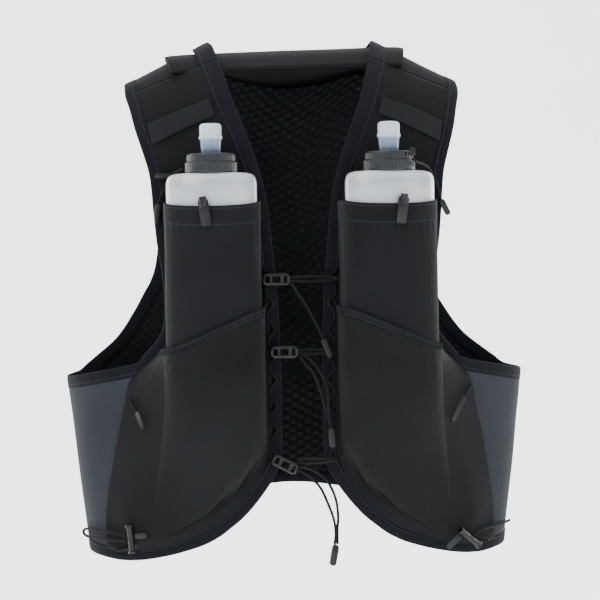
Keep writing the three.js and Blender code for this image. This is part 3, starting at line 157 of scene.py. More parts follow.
# Free cords: their routes and what ends them
CORDS = {
    "sternum_tail_top": ([
        (-8.8, -76.2, -215.2), (-3.5, -78, -224), (4, -80, -235.5), (10.5, -81.5, -247.5),
        (15, -82.5, -257), (18, -83, -265)], "sternum_end_top"),
    "sternum_tail_middle": ([
        (-2.4, -76.1, -279.8), (2.3, -78, -286.2), (9.3, -79.5, -295.2), (13, -80.5, -303),
        (15.3, -81, -311.4), (19.5, -81.2, -326.7), (22.6, -81.4, -338), (23.6, -81.4, -343.5)],
        "sternum_end_middle"),
    "sternum_tail_middle_2": ([
        (1.2, -78.6, -278.8), (8, -80, -284.4), (14.2, -81, -292.5), (19.4, -82.5, -302.4),
        (21.9, -84, -315.9), (21.9, -84.6, -325), (22.8, -84.6, -335), (24, -84.6, -343.5)], None),
    "sternum_tail_low": ([
        (-5, -76.3, -380.8), (1.2, -78, -384.2), (6.1, -79, -388), (14, -80, -396.9),
        (20.1, -80.5, -410.4), (25.2, -80, -424.8), (26.8, -79, -437.4), (25.7, -78.5, -447.3)],
        "sternum_end_low"),
    "sternum_tail_low_2": ([
        (-4.1, -76.6, -378), (1.8, -77, -379.2), (8.3, -76.8, -381.6), (18.9, -76.5, -389.5),
        (24.6, -76.3, -398.7), (28.4, -76, -410.4), (29.6, -75.8, -423.9), (28.8, -75.6, -433),
        (28.6, -76, -447.3)], None),
    "flask_cord_left": ([
        (-102.9, -88.9, -113.9), (-107, -80, -114.8), (-110.5, -72, -116.5),
        (-113, -68.4, -119.5), (-116.5, -68, -125), (-120.5, -67, -133.5), (-124.5, -66, -142.8)],
        "flask_cord_end_left"),
    "flask_cord_right": ([
        (97.2, -108.4, -107.6), (100.5, -106.5, -110.5), (104.5, -100, -111.5),
        (110, -90, -112.8), (116, -80, -116.5), (121, -72, -124), (125, -67, -133),
        (127.5, -65.5, -142.5)], "flask_cord_end_right"),
    "pole_cord_left": ([
        (-157, -56.6, -437), (-165, -51, -435.5), (-173, -43.5, -434), (-181, -33, -433),
        (-187.5, -22.5, -432.5), (-192.3, -11, -433), (-194.2, -5, -434.6),
        (-194.2, -5, -437.6), (-192.1, -11, -439.3), (-187.3, -22.5, -439.7),
        (-180.8, -33, -440), (-172.8, -43.5, -441), (-165, -51, -441.5), (-156.6, -56.6, -441.5)],
        None),
    "pole_cord_right": ([
        (152, -57.3, -443.7), (160, -52.5, -440), (168, -44.5, -438), (176, -35.5, -437),
        (183, -26.5, -436), (189.4, -15.5, -435), (193.4, -7, -434.5)], None),
}
ZIP_CORDS = {
    "zip_cord_left": [(-152.4, -59.4, -315.4), (-150, -62.6, -320.5), (-147, -66.8, -326.5)],
    "zip_cord_right": [(152.8, -58.3, -309), (149.5, -63.5, -313.5), (145.2, -68.6, -318)],
}
# Sternum fastenings: the hook's across and drop, the cord's start and drop, and its knot's across
STRANDS = {
    "sternum_cord_top": (-21.8, 211.8, -9.4, 211.8, 31.2),
    "sternum_cord_middle": (-15.7, 276.3, -3.3, 276.3, 24),
    "sternum_cord_low": (-16.5, 376, -5.4, 372.9, 24.5),
}
LACE_PITCH, LACE_TOP_DROP, LACE_LOOPS, LACE_REACH, LACE_INSET = 22.4, 211, 8, 5, 9.5
HARD_PIECES = [
    *[f"sternum_{kind}_{place}" for kind in ("hook", "end") for place in ("top", "middle", "low")],
    *[f"{kind}_{side}" for kind in (
        "flask_cord_lock", "flask_cord_end", "pole_toggle", "pole_anchor", "zip_pull", "pocket_clip")
      for side in ("left", "right")],
]


# Body form

def powered(value):
    return np.sign(value) * np.abs(value) ** POWER


def half_width_at(z):
    share = np.clip((-z - ARMPIT_DROP) / (LENGTH - ARMPIT_DROP), 0, 1.1)
    return HALF_WIDTH + (HEM_HALF_WIDTH - HALF_WIDTH) * share


def depth_at(z, in_front):
    down = np.clip(-z / LENGTH, 0, 1)
    front = FRONT_DEPTH * np.interp(down, DEPTHS[:, 0], DEPTHS[:, 1])
    return np.where(in_front, front, BACK_DEPTH * np.interp(down, DEPTHS[:, 0], DEPTHS[:, 2]))


def ridge_over(across):
    """Ridge of the shoulders: a parabola between them, then a straight slope outward."""
    share = across / NECK_HALF
    crown = NECK_RISE + SHOULDER_SLOPE * NECK_HALF * (1 - share ** 2) / 2
    return np.where(share > 1, NECK_RISE - SHOULDER_SLOPE * (across - NECK_HALF), crown)


def ridge_at(turn):
    return ridge_over(HALF_WIDTH * np.abs(powered(np.sin(turn))))


def roll_for(fall):
    share = np.maximum(0, fall) / SHOULDER_ROLL
    return np.where(share < 1, np.arccos(np.clip(1 - share, -1, 1)), QUARTER + share - 1)


def fall_for(roll):
    size = np.abs(roll)
    return SHOULDER_ROLL * np.where(size < QUARTER, 1 - np.cos(size), 1 + size - QUARTER)


def point_at(place):
    """Superellipse of the body at a turn, at the height that a roll over the shoulder gives."""
    turn, roll = place[..., 0], place[..., 1]
    z = ridge_at(turn) - fall_for(roll)
    in_front = (np.cos(turn) > 0) != (roll < 0)
    out = np.sin(np.minimum(np.abs(roll), QUARTER))
    depth = depth_at(z, in_front) * np.abs(np.cos(turn)) ** POWER * out
    x = half_width_at(z) * powered(np.sin(turn))
    return np.stack([x, np.where(in_front, -depth, depth), z], -1)


def unit(vectors):
    return vectors / np.maximum(np.linalg.norm(vectors, axis=-1, keepdims=True), 1e-9)


def normal_at(place):
    turned, rolled = (point_at(place + step) - point_at(place - step)
                      for step in ([NORMAL_STEP, 0], [0, NORMAL_STEP]))
    return unit(np.cross(rolled, turned))


def eased(share, reach=0.0):
    """Smooth step: three squares less two cubes of the share, over a span longer by the reach."""
    part = (share + reach) / (1 + 2 * reach)
    return part * part * (3 - 2 * part)


def place_of(across, down, sheet="front"):
    x = across * HALF_WIDTH
    z = float(ridge_over(x)) if sheet == "ridge" else -down * LENGTH
    turn = math.asin(min(1.0, x / float(half_width_at(z))) ** (1 / POWER))
    roll = 0.0 if sheet == "ridge" else float(roll_for(ridge_at(turn) - z))
    if sheet == "front":
        return np.array([turn, roll])
    return np.array([math.pi - turn, -roll if sheet == "over" else roll])


def at_turn(turn, z):
    turn, z = np.broadcast_arrays(np.asarray(turn, float), np.asarray(z, float))
    return np.stack([turn, roll_for(ridge_at(turn) - z)], -1)


def place_near(points, near):
    """The place on the body at each point, on the side of the ridge that its neighbour is on."""
    x, y, z = np.moveaxis(points, -1, 0)
    across = np.clip(np.abs(x) / half_width_at(z), 0, 1) ** (1 / POWER)
    in_front = y < 0
    depth = depth_at(z, in_front)
    fall = ridge_over(np.abs(x)) - z
    turn = np.arcsin(across)
    out = np.abs(y) / np.maximum(depth * np.cos(turn) ** POWER, 1e-6)
    roll = np.arctan2(out, 1 - fall / SHOULDER_ROLL)
    ahead = near[..., 0] <= QUARTER
    high = np.stack([np.where(ahead, turn, math.pi - turn),
                     np.where(ahead == in_front, roll, -roll)], -1)
    along = (np.abs(y) / depth) ** (1 / POWER)
    low = at_turn(np.arctan2(across, np.where(in_front, along, -along)), z)
    return np.where((fall < SHOULDER_ROLL)[..., None], high, low)


def mix(start, end, share):
    """Between two places: the turn and roll are mixed on the shoulder, the turn and height below it."""
    share = np.asarray(share, float)
    turn = start[..., 0] + (end[..., 0] - start[..., 0]) * share
    roll = start[..., 1] + (end[..., 1] - start[..., 1]) * share
    high, low = point_at(start)[..., 2], point_at(end)[..., 2]
    rolled = roll_for(ridge_at(turn) - (high + (low - high) * share))
    upper = (np.abs(start[..., 1]) < QUARTER) & (np.abs(end[..., 1]) < QUARTER)
    return np.stack([turn, np.where(upper, roll, rolled)], -1)


def spline(values, steps, closed=False):
    """Catmull-Rom curve: each span is a cubic whose end slopes are half the chord of its neighbours."""
    values = np.asarray(values, float)
    ends = (values[-2:-1], values[1:2]) if closed else (values[:1], values[-1:])
    padded = np.concatenate([ends[0], values, ends[1]])
    spot = np.linspace(0, len(values) - 1, (len(values) - 1) * steps + 1)
    base = np.minimum(spot.astype(int), len(values) - 2)
    f = (spot - base).reshape(-1, *[1] * (values.ndim - 1))
    p0, p1, p2, p3 = (padded[base + shift] for shift in range(4))
    v0, v1 = (p2 - p0) / 2, (p3 - p1) / 2
    return (2 * p1 - 2 * p2 + v0 + v1) * f ** 3 + (-3 * p1 + 3 * p2 - 2 * v0 - v1) * f ** 2 + v0 * f + p1


def dense(grid, down, across):
    """Both directions of a coarse grid smoothed with the same cubic spans."""
    rows = spline(grid, down)
    return np.swapaxes(spline(np.swapaxes(rows, 0, 1), across), 0, 1)


def inset(chain, distances, side, closed=False):
    """The places beside a chain: each point moved across it on the body, then put back on the body."""
    points = point_at(chain)
    last = len(chain) - 1
    before, after = np.arange(-1, last), np.arange(1, last + 2)
    before[0] = last - 1 if closed else 0
    after[-1] = 1 if closed else last
    along = unit(points[after] - points[before])
    inward = np.cross(normal_at(chain), along) * side * np.asarray(distances)[:, None]
    return place_near(points + inward, chain)


def ruled(starts, ends, columns):
    return mix(starts[:, None], ends[:, None], np.arange(columns + 1) / columns)


def patch(starts, ends, first, last):
    """Coons patch of places: the sides' straight mix plus what the first and last rows add to it."""
    share = np.linspace(0, 1, len(starts))[:, None]
    across = np.linspace(0, 1, len(first))[None]
    values = []
    for pick in (lambda p: p[..., 0], lambda p: point_at(p)[..., 2]):
        left, right, top, foot = pick(starts), pick(ends), pick(first), pick(last)
        level = left[:, None] + (right - left)[:, None] * across
        above = top - (left[0] + (right[0] - left[0]) * across[0])
        below = foot - (left[-1] + (right[-1] - left[-1]) * across[0])
        values.append(level + (1 - share) * above + share * below)
    return at_turn(values[0], values[1])


def round_side(start, end, dip):
    share = np.linspace(0, 1, SIDE_COLUMNS + 1)
    high, low = point_at(start)[2], point_at(end)[2]
    z = high + (low - high) * share - dip * np.sin(math.pi * share)
    return at_turn(start[0] + (end[0] - start[0]) * share, z)


def smoothed_values(values):
    return np.interp(np.arange((len(values) - 1) * STEPS + 1) / STEPS, np.arange(len(values)), values)


def chain_at(chain, spot):
    base = min(int(spot), len(chain) - 2)
    return mix(chain[base], chain[base + 1], spot - base)


def along_chain(chain, spot):
    places = np.concatenate([chain_at(chain, spot)[None], chain[int(spot) + 1:]])
    lengths = np.concatenate([[0], np.cumsum(np.linalg.norm(np.diff(point_at(places), axis=0), axis=1))])

    def at(distance):
        part = min(max(int(np.searchsorted(lengths, distance)), 1), len(places) - 1)
        share = (distance - lengths[part - 1]) / (lengths[part] - lengths[part - 1])
        return mix(places[part - 1], places[part], share)
    return lengths[-1], at


def in_front_of(places):
    over = places[..., 1:] < 0
    return np.where(over, np.stack([math.pi - places[..., 0], -places[..., 1]], -1), places)


# Edges of the right half, in the order and number that the solids have

outer_places = np.array([place_of(row[0], row[1]) for row in FRONT_ROWS])
inner_places = np.array([place_of(row[2], row[3]) for row in FRONT_ROWS])
arm_front = spline(outer_places[:SLATE_ROW + 1], STEPS)
slate_seam = spline(outer_places[SLATE_ROW:], STEPS)
back_seam_top = at_turn(SIDE_SEAM_TURN, -BACK_SEAM_TOP * LENGTH)
back_seam_foot = at_turn(SIDE_SEAM_TURN, -BACK_SEAM_FOOT * LENGTH)
arm_side = round_side(slate_seam[0], back_seam_top, ARMPIT_DIP)
arm_back = spline([back_seam_top, *[place_of(*row) for row in ARM_BACK_EDGE]], STEPS)
arm_edge = np.concatenate([arm_front, arm_side[1:], arm_back[1:]])
arm_inset = inset(arm_edge, np.full(len(arm_edge), ARM_BAND), -1, True)
arm_side_start = len(arm_front) - 1
arm_back_start = arm_side_start + SIDE_COLUMNS
hem_corner = place_of(*HEM_CORNER[:3])
neck_edge = spline([place_of(*row[:3]) for row in NECK_EDGE], STEPS)
front_edge = spline([*inner_places, hem_corner], STEPS)
hem_side = round_side(hem_corner, back_seam_foot, 0)
hem_share = np.linspace(0, 1, BACK_COLUMNS + 1)
hem_ease = eased(hem_share, HEM_REACH)
hem_back = at_turn(SIDE_SEAM_TURN + (math.pi - SIDE_SEAM_TURN) * hem_share,
                   -LENGTH * (BACK_SEAM_FOOT + (BACK_HEM_CENTRE - BACK_SEAM_FOOT) * hem_ease))
rim_edge = np.concatenate([neck_edge, front_edge[1:], hem_side[1:], hem_back[1:]])
neck_bands = smoothed_values([row[3] for row in NECK_EDGE])
front_bands = smoothed_values([*[row[4] for row in FRONT_ROWS], HEM_CORNER[3]])
rim_bands = np.concatenate([neck_bands, front_bands[1:]])
rim_bands = RIM_BAND * np.concatenate([rim_bands, np.full(len(rim_edge) - len(rim_bands), front_bands[-1])])
rim_inset = inset(rim_edge, rim_bands, 1)
front_start = len(neck_edge) - 1
hem_start = front_start + len(front_edge) - 1
hem_back_start = hem_start + SIDE_COLUMNS
rim_inset[hem_start] = slate_seam[-1]
rim_inset[0, 0] = rim_inset[-1, 0] = math.pi
front_inset = in_front_of(rim_inset[front_start:hem_start])
panel_outer = np.concatenate([arm_inset[:arm_side_start], slate_seam])
panel_outer[0] = in_front_of(panel_outer[0])
panel_outer[arm_side_start] = in_front_of(arm_inset[arm_side_start])
front_grid = ruled(panel_outer, front_inset[:len(panel_outer)], FRONT_COLUMNS)
seam_inset = np.concatenate([arm_inset[arm_side_start][None], slate_seam[1:]])
back_seam = mix(arm_inset[arm_back_start], rim_inset[hem_back_start], np.linspace(0, 1, len(seam_inset)))
side_grid = patch(seam_inset, back_seam, arm_inset[arm_side_start:arm_back_start + 1],
                  rim_inset[hem_start:hem_back_start + 1])
back_outer = arm_inset[arm_back_start:][::-1]
neck_inset = rim_inset[:front_start + 1][::-1]
centre_chain = spline([neck_inset[-1], *[at_turn(math.pi, -d * LENGTH) for d in BACK_CENTRE_DOWNS]], STEPS)
back_inner = np.concatenate([neck_inset, centre_chain[1:]])
back_upper = ruled(back_outer, back_inner[:len(back_outer)], BACK_COLUMNS)
back_centre = back_inner[len(back_outer) - 1]
lower_outer = back_seam[::STEPS]
lower_inner = mix(back_centre, rim_inset[-1], np.linspace(0, 1, len(lower_outer)))
lower_first = mix(back_outer[-1], back_centre, np.linspace(0, 1, BACK_COLUMNS + 1))
back_lower = patch(lower_outer, lower_inner, lower_first, rim_inset[hem_back_start:])
back_grid = np.concatenate([back_upper, back_lower[1:]])


# Where the flasks stand

def front_point(x, z):
    return point_at(place_of(x / HALF_WIDTH, -z / LENGTH))


flask_top = -FLASK_TOP_DROP
flask_middle = flask_top - FLASK_LENGTH / 2
chord_start = front_point(FLASK_ACROSS - FLASK_HALF_WIDTH, flask_middle)
chord_end = front_point(FLASK_ACROSS + FLASK_HALF_WIDTH, flask_middle)
pocket_across = unit(chord_end - chord_start)
pocket_forward = np.cross(pocket_across, [0, 0, 1])
chord_middle = (chord_start + chord_end) / 2
chord_sag = (front_point(FLASK_ACROSS, flask_middle) - chord_middle) @ pocket_forward
axis_forward = chord_sag + CLOTH + FIT + CAP_RADIUS


def in_pocket(across, forward, z):
    """Points across and forward of the chord under a pocket, at a height."""
    across, forward, z = np.broadcast_arrays(across, forward, z)
    spot = chord_middle + across[..., None] * pocket_across + forward[..., None] * pocket_forward
    spot[..., 2] = z
    return spot


flask_axis = in_pocket(np.float64(0), axis_forward, flask_top)


def wrap(ease):
    """Across and forward of a line round the flask: straight feet and a half ellipse."""
    half_width, half_depth = FLASK_HALF_WIDTH + ease, FLASK_HALF_DEPTH + ease
    middle = (POCKET_BASE + axis_forward) / 2
    arc = np.stack([half_width * np.cos(WRAP_ANGLES), axis_forward + half_depth * np.sin(WRAP_ANGLES)], -1)
    feet = np.array([(-half_width, POCKET_BASE), (-half_width, middle)])
    return feet, arc, feet[::-1] * [-1, 1]


def sleeve_grid():
    feet, arc, far = wrap(POCKET_EASE)
    across, forward = np.concatenate([feet, arc, far]).T
    height = FLASK_TOP_DROP + FLASK_LENGTH + POCKET_TAIL - POCKET_TOP_DROP
    rows = []
    for down, wide, rise in SLEEVE_SECTIONS:
        sag = POCKET_SAG * (1 - down) * np.maximum(0, (forward - axis_forward) / FLASK_HALF_DEPTH)
        rows.append(in_pocket(across * wide, POCKET_BASE + (forward - POCKET_BASE) * rise,
                              -POCKET_TOP_DROP - height * down - sag))
    return np.array(rows)


def lower_grid():
    """Rows of a lower pocket: the flask's wrap, easing down to the body with a puff between the seams."""
    feet, arc, _ = wrap(POCKET_EASE + CLOTH + LAYER_GAP)
    drape = np.concatenate([feet, arc])
    inner_total, inner_at = along_chain(front_inset, POCKET_INNER_ROW * STEPS)
    outer_total, outer_at = along_chain(panel_outer, POCKET_OUTER_ROW * STEPS)
    rows = []
    for row in range(LOWER_ROWS + 1):
        share = (row - 1) / (LOWER_ROWS - 1)
        inner, outer = (at(0.0 if row == 0 else HEM_TALL + (total - HEM_TALL) * share)
                        for total, at in ((inner_total, inner_at), (outer_total, outer_at)))
        start, end = (point_at(p) + normal_at(p) * LAYER_BASE for p in (inner, outer))
        inner_x, outer_x = point_at(inner)[0], point_at(outer)[0]
        edge = in_pocket(*drape[-1], 0.0)
        full = [*in_pocket(drape[:, 0], drape[:, 1], 0.0), edge + (end - edge) * DRAPE_SLOPE]
        line = [start]
        for column, spot in enumerate(full):
            reach = spot[0] - inner_x
            even = (column + 1) / (len(full) + 1)
            part = min(max(reach / (outer_x - inner_x), even * COLUMN_EASE), 1 - (1 - even) * COLUMN_EASE)
            place = mix(inner, outer, part)
            point = point_at(place)
            flat = point + normal_at(place) * (LAYER_BASE + POCKET_PUFF * math.sin(math.pi * part))
            drop = min(max((-point[2] - DRAPE_START) / (DRAPE_END - DRAPE_START), 0), 1)
            draped = (1 - eased(drop)) * min(max(reach / DRAPE_REACH, 0), 1)
            line.append(flat + (np.array([spot[0], spot[1], point[2]]) - flat) * draped)
        rows.append([*line, end])
    return np.array(rows)


# Meshes

def lengths_along(points, axis):
    """Distance along a grid's rows or columns, in metres, for a map at real scale."""
    steps = np.linalg.norm(np.diff(points, axis=axis), axis=-1) * MM
    start = np.zeros_like(np.take(steps, [0], axis=axis))
    return np.concatenate([start, np.cumsum(steps, axis=axis)], axis=axis)


def build(name, points, quads, corner_uv, ends, look, body=BODY):
    """A mesh from points in millimetres, turned outwards by the sign of its volume."""
    place = points.reshape(-1, 3) * MM
    corners = [place[quads[:, k]] for k in range(4)]
    volume = sum(np.einsum("ij,ij->", corners[0], np.cross(corners[k], corners[k + 1])) for k in (1, 2))
    for end in ends:
        fan = place[list(end)]
        volume += np.einsum("j,ij->", fan[0], np.cross(fan[1:-1], fan[2:]))
    turn = -1 if volume < 0 else 1
    faces = [*quads[:, ::turn].tolist(), *[list(end)[::turn] for end in ends]]
    uv = np.concatenate([corner_uv[:, ::turn].reshape(-1, 2), np.zeros((sum(map(len, ends)), 2))])
    mesh = bpy.data.meshes.new(name)
    mesh.from_pydata(place.tolist(), [], faces)
    layer = mesh.uv_layers.new(name="UVMap")
    layer.data.foreach_set("uv", uv.astype(np.float32).ravel())
    mesh.polygons.foreach_set("use_smooth", np.ones(len(mesh.polygons), bool))
    mesh.materials.append(look)
    piece = bpy.data.objects.new(name, mesh)
    bpy.context.scene.collection.objects.link(piece)
    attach(piece, body)
    return piece


def quads_of(rows, columns, wrap_rows=False, wrap_columns=False):
    r = np.arange(rows if wrap_rows else rows - 1)[:, None]
    c = np.arange(columns if wrap_columns else columns - 1)[None]
    down, over = (r + 1) % rows, (c + 1) % columns
    quads = np.stack(np.broadcast_arrays(r * columns + c, r * columns + over,
                                         down * columns + over, down * columns + c), -1)
    spots = np.stack([np.stack(np.broadcast_arrays(*pair), -1)
                      for pair in ((r, c), (r, c + 1), (r + 1, c + 1), (r + 1, c))], -2)
    return quads.reshape(-1, 4), spots.reshape(-1, 4, 2)


def skin(name, rings, along, around, look, body=BODY, closed=False):
    """Rings of points joined into one skin, with flat ends unless it closes on itself."""
    rows, columns = rings.shape[:2]
    quads, spots = quads_of(rows, columns, closed, True)
    uv = np.stack([along[spots[..., 0]], around[spots[..., 1]]], -1)
    ends = [] if closed else [range(columns)[::-1], range((rows - 1) * columns, rows * columns)]
    return build(name, rings, quads, uv, ends, look, body)


def ring_mesh(name, rings, look, body=BODY):
    """A tube or lathe, mapped evenly round by the length of its first ring."""
    columns = rings.shape[1]
    around = np.linalg.norm(rings[0] - np.roll(rings[0], 1, 0), axis=-1).sum() * MM
    return skin(name, rings, lengths_along(rings, 0)[:, 0], around * np.arange(columns + 1) / columns,
                look, body)


def wall(name, points, inside, outside, look, relief=None):
    """A cloth wall: a surface moved both ways along its normals, closed round its edges."""
    normals = unit(np.cross(np.gradient(points, axis=0), np.gradient(points, axis=1)))
    if (normals[..., :2] * points[..., :2]).sum() < 0:
        normals = -normals
    u, v = lengths_along(points, 1), lengths_along(points, 0)
    lift = np.zeros(u.shape) if relief is None else relief(u, v)
    outer = points + normals * (outside + lift)[..., None]
    inner = points + normals * (inside + BACKING * lift)[..., None]
    both = np.concatenate([outer, inner[:, ::-1]], axis=1)
    rows, columns = both.shape[:2]
    quads, spots = quads_of(rows, columns, False, True)
    pair = np.stack([u, v], -1)
    uv_grid = np.concatenate([pair, pair[:, ::-1], pair[:, :1]], axis=1)
    uv = uv_grid[spots[..., 0], spots[..., 1]]
    half = columns // 2
    j = np.arange(half - 1)
    for row in (0, rows - 1):
        base = row * columns
        cap = np.stack([base + j, base + j + 1, base + columns - 2 - j, base + columns - 1 - j], -1)
        quads = np.concatenate([quads, cap[:, ::-1] if row == 0 else cap])
        uv = np.concatenate([uv, np.repeat(uv_grid[row, :half - 1][:, None], 4, axis=1)])
    piece = build(name, both, quads, uv, [], look)
    cells = np.cross(np.diff(points, axis=0)[:, :-1], np.diff(points, axis=1)[:-1])
    area = np.linalg.norm(cells, axis=-1).sum() * MM ** 2
    piece["cloth"] = [float(u.max()), float(v.max()), float(area)]
    return piece


def flip(points):
    return (points * MIRROR)[:, ::-1]


def whole(half):
    """A grid that ends on the centre plane, with its mirror image joined to it."""
    return np.concatenate([half, flip(half)[:, 1:]], axis=1)


def pair(name, finish, grid, look, slot, outside=CLOTH, relief=None):
    """A wall of cloth on the right and its mirror image on the left, each for its own solid."""
    points = dense(grid, *SPANS[name])
    made = {}
    for side, shape in (("right", points), ("left", flip(points))):
        made[side] = wall(f"{name}_{side}_{finish}", shape, 0, outside, look_of(look), relief)
        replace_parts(made[side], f"{name}_{side}")
    return made


def rolls(depth, pitch, seed):
    """Soft rolls of worn cloth: two sine waves that cross and a slanting one, fading to the seams."""
    across, down, slanting = ROLL_WAVES
    crossed, slanted = ROLL_SHARES

    def relief(u, v):
        a = np.sin(u / pitch * across + seed) * np.sin(v / pitch * down + 2 * seed)
        b = np.sin((u + ROLL_SLANT * v) / pitch * slanting + 3 * seed)
        edge = 1
        for way in (u, v):
            edge = edge * np.minimum(1, ROLL_FADE * np.minimum(way, way.max() - way))
        return depth * (crossed * a + slanted * b) * edge
    return relief


# Section of a folded tape: share of its width, millimetres beyond it, height over the cloth's inside
TAPE = [
    (1, 1.2, 1.6), (1, 0, 1.95), (1, -1.2, 2.0), (1, -1.9, 1.72), (1, -2.6, 2.0), (0.5, 0, 2.15),
    (0, 1.6, 2.0), (0, 0.5, 1.75), (0, -0.1, 1.0), (0, 0.1, 0.2), (0, 0.8, -0.45), (0.5, 0, -0.6),
    (1, -1, -0.5), (1, 1, -0.2),
]


def tape(name, edge, inner, normals, closed=False):
    """A tape folded over an edge: one closed section carried along the edge, as wide as the places say."""
    edge, inner, normals = (spline(v, CORD_STEPS, closed) for v in (edge, inner, normals))
    normals = unit(normals)
    across = inner - edge
    width = np.linalg.norm(across, axis=-1, keepdims=True)
    share, beyond, height = np.array(TAPE).T
    out = share * width + beyond
    rings = edge[:, None] + unit(across)[:, None] * out[..., None] + normals[:, None] * height[:, None]
    if closed:
        rings = rings[:-1]
    around = lengths_along(np.concatenate([rings, rings[:, :1]], axis=1), 1)[0]
    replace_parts(skin(name, rings, lengths_along(edge, 0), around, look_of("binding"),
                     closed=closed), name)


def tube_rings(points, radius):
    """A circle carried along points, its frame passed on from point to point without twisting."""
    ahead = unit(np.gradient(points, axis=0))
    across = np.cross((0.3, 0.2, 0.9), ahead[0])
    angles = np.linspace(0, 2 * math.pi, TUBE_SIDES, endpoint=False)[:, None]
    rings = []
    for point, direction in zip(points, ahead):
        across = across - direction * (across @ direction)
        across /= np.linalg.norm(across)
        up = np.cross(direction, across)
        rings.append(point + radius * (across * np.cos(angles) + up * np.sin(angles)))
    return np.array(rings)


def braided(title, rings, *nodes):
    """A cord's skin in its braid, standing for the solids that are named."""
    piece = ring_mesh(title, rings, look_of("cord"))
    if nodes:
        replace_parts(piece, *nodes)
    return piece


def lathe(name, profile, centre, look, slot, body, sides=LATHE_SIDES, ribs=None):
    """A profile of radii and heights turned about a vertical axis, its radius ribbed where asked."""
    profile = np.array(profile, float)
    angles = np.linspace(0, 2 * math.pi, sides, endpoint=False)
    radius = np.repeat(profile[:, :1], sides, axis=1)
    if ribs:
        count, depth, low, high, least = ribs
        gripped = (profile[:, 1:] > low) & (profile[:, 1:] < high) & (profile[:, :1] > least)
        radius = radius - depth * gripped * (0.5 + 0.5 * np.cos(angles * count)) ** 2
    rings = np.stack([centre[0] + radius * np.cos(angles), centre[1] + radius * np.sin(angles),
                      centre[2] + np.repeat(profile[:, 1:], sides, axis=1)], -1)
    return ring_mesh(name, rings, look, body)


# Materials

def colour(code):
    """An sRGB hex colour as linear red, green, blue and alpha."""
    parts = [int(code[k:k + 2], 16) / 255 for k in (1, 3, 5)]
    return (*[p / 12.92 if p <= 0.04045 else ((p + 0.055) / 1.055) ** 2.4 for p in parts], 1)


def add(tree, kind, inputs=None, **settings):
    """One node with its settings; an input is a value or another node's output."""
    made = tree.nodes.new(kind)
    for key, value in settings.items():
        setattr(made, key, value)
    for key, value in (inputs or {}).items():
        if isinstance(value, bpy.types.NodeSocket):
            tree.links.new(value, made.inputs[key])
        else:
            made.inputs[key].default_value = value
    return made


def maths(tree, operation, first, second=0.0, third=0.0):
    return add(tree, "ShaderNodeMath", {0: first, 1: second, 2: third}, operation=operation).outputs[0]


def wave(tree, value, spacing):
    return maths(tree, "SINE", maths(tree, "MULTIPLY", value, 2 * math.pi / spacing))


def begin(name):
    look = bpy.data.materials.new(name)
    look.use_nodes = True
    tree = look.node_tree
    tree.nodes.clear()
    place = add(tree, "ShaderNodeTexCoord")
    split = add(tree, "ShaderNodeSeparateXYZ", {0: place.outputs["UV"]})
    return look, tree, place, split.outputs[0], split.outputs[1]


def close(tree, base, rough, height, depth, bump, **finish):
    """The shader: its colour, roughness and bump, and any other socket by its name."""
    normal = add(tree, "ShaderNodeBump", {"Strength": bump, "Distance": depth, "Height": height}).outputs[0]
    sockets = {"Base Color": base, "Roughness": rough, "Normal": normal}
    sockets.update({key.replace("_", " "): value for key, value in finish.items()})
    shader = add(tree, "ShaderNodeBsdfPrincipled", sockets)
    add(tree, "ShaderNodeOutputMaterial", {0: shader.outputs[0]})


def blended(tree, first, second, share):
    """From one colour to another by a share; each is a hex colour or another node's output."""
    ends = [colour(end) if isinstance(end, str) else end for end in (first, second)]
    return add(tree, "ShaderNodeMix", {0: share, 6: ends[0], 7: ends[1]}, data_type="RGBA").outputs[2]


def clouds(tree, place, scale, detail=2.0):
    return add(tree, "ShaderNodeTexNoise", {"Vector": place.outputs["Object"], "Scale": scale,
                                            "Detail": detail}).outputs[0]


def weave(tree, u, v, thread):
    """Plain weave: threads over and under, as the product of two sine waves a thread apart."""
    return maths(tree, "MULTIPLY", wave(tree, u, 2 * thread), wave(tree, v, 2 * thread))


def braid(tree, u, v, pitch):
    """Round braid: two sets of slanting strands, the higher of the two waves."""
    return maths(tree, "MAXIMUM", wave(tree, maths(tree, "ADD", u, v), pitch),
                 wave(tree, maths(tree, "SUBTRACT", u, v), pitch))


def honeycomb(tree, u, v, cell):
    """Six-sided holes: three cosine waves at 60 degrees, which are all high together at each hole."""
    total = None
    for angle in (0, 60, 120):
        c, s = math.cos(math.radians(angle)), math.sin(math.radians(angle))
        line = maths(tree, "ADD", maths(tree, "MULTIPLY", u, c), maths(tree, "MULTIPLY", v, s))
        one = maths(tree, "COSINE", maths(tree, "MULTIPLY", line, 2 * math.pi / (cell * HEX_ROWS)))
        total = one if total is None else maths(tree, "ADD", total, one)
    return total


def stitches(tree, u, v, line, length=0.0034, thick=0.0005):
    """Dashes of thread along a line: near the line, and within seven tenths of each stitch."""
    near = maths(tree, "COMPARE", v, line, thick)
    part = maths(tree, "FRACT", maths(tree, "DIVIDE", u, length))
    return maths(tree, "MULTIPLY", near, maths(tree, "LESS_THAN", part, 0.7))


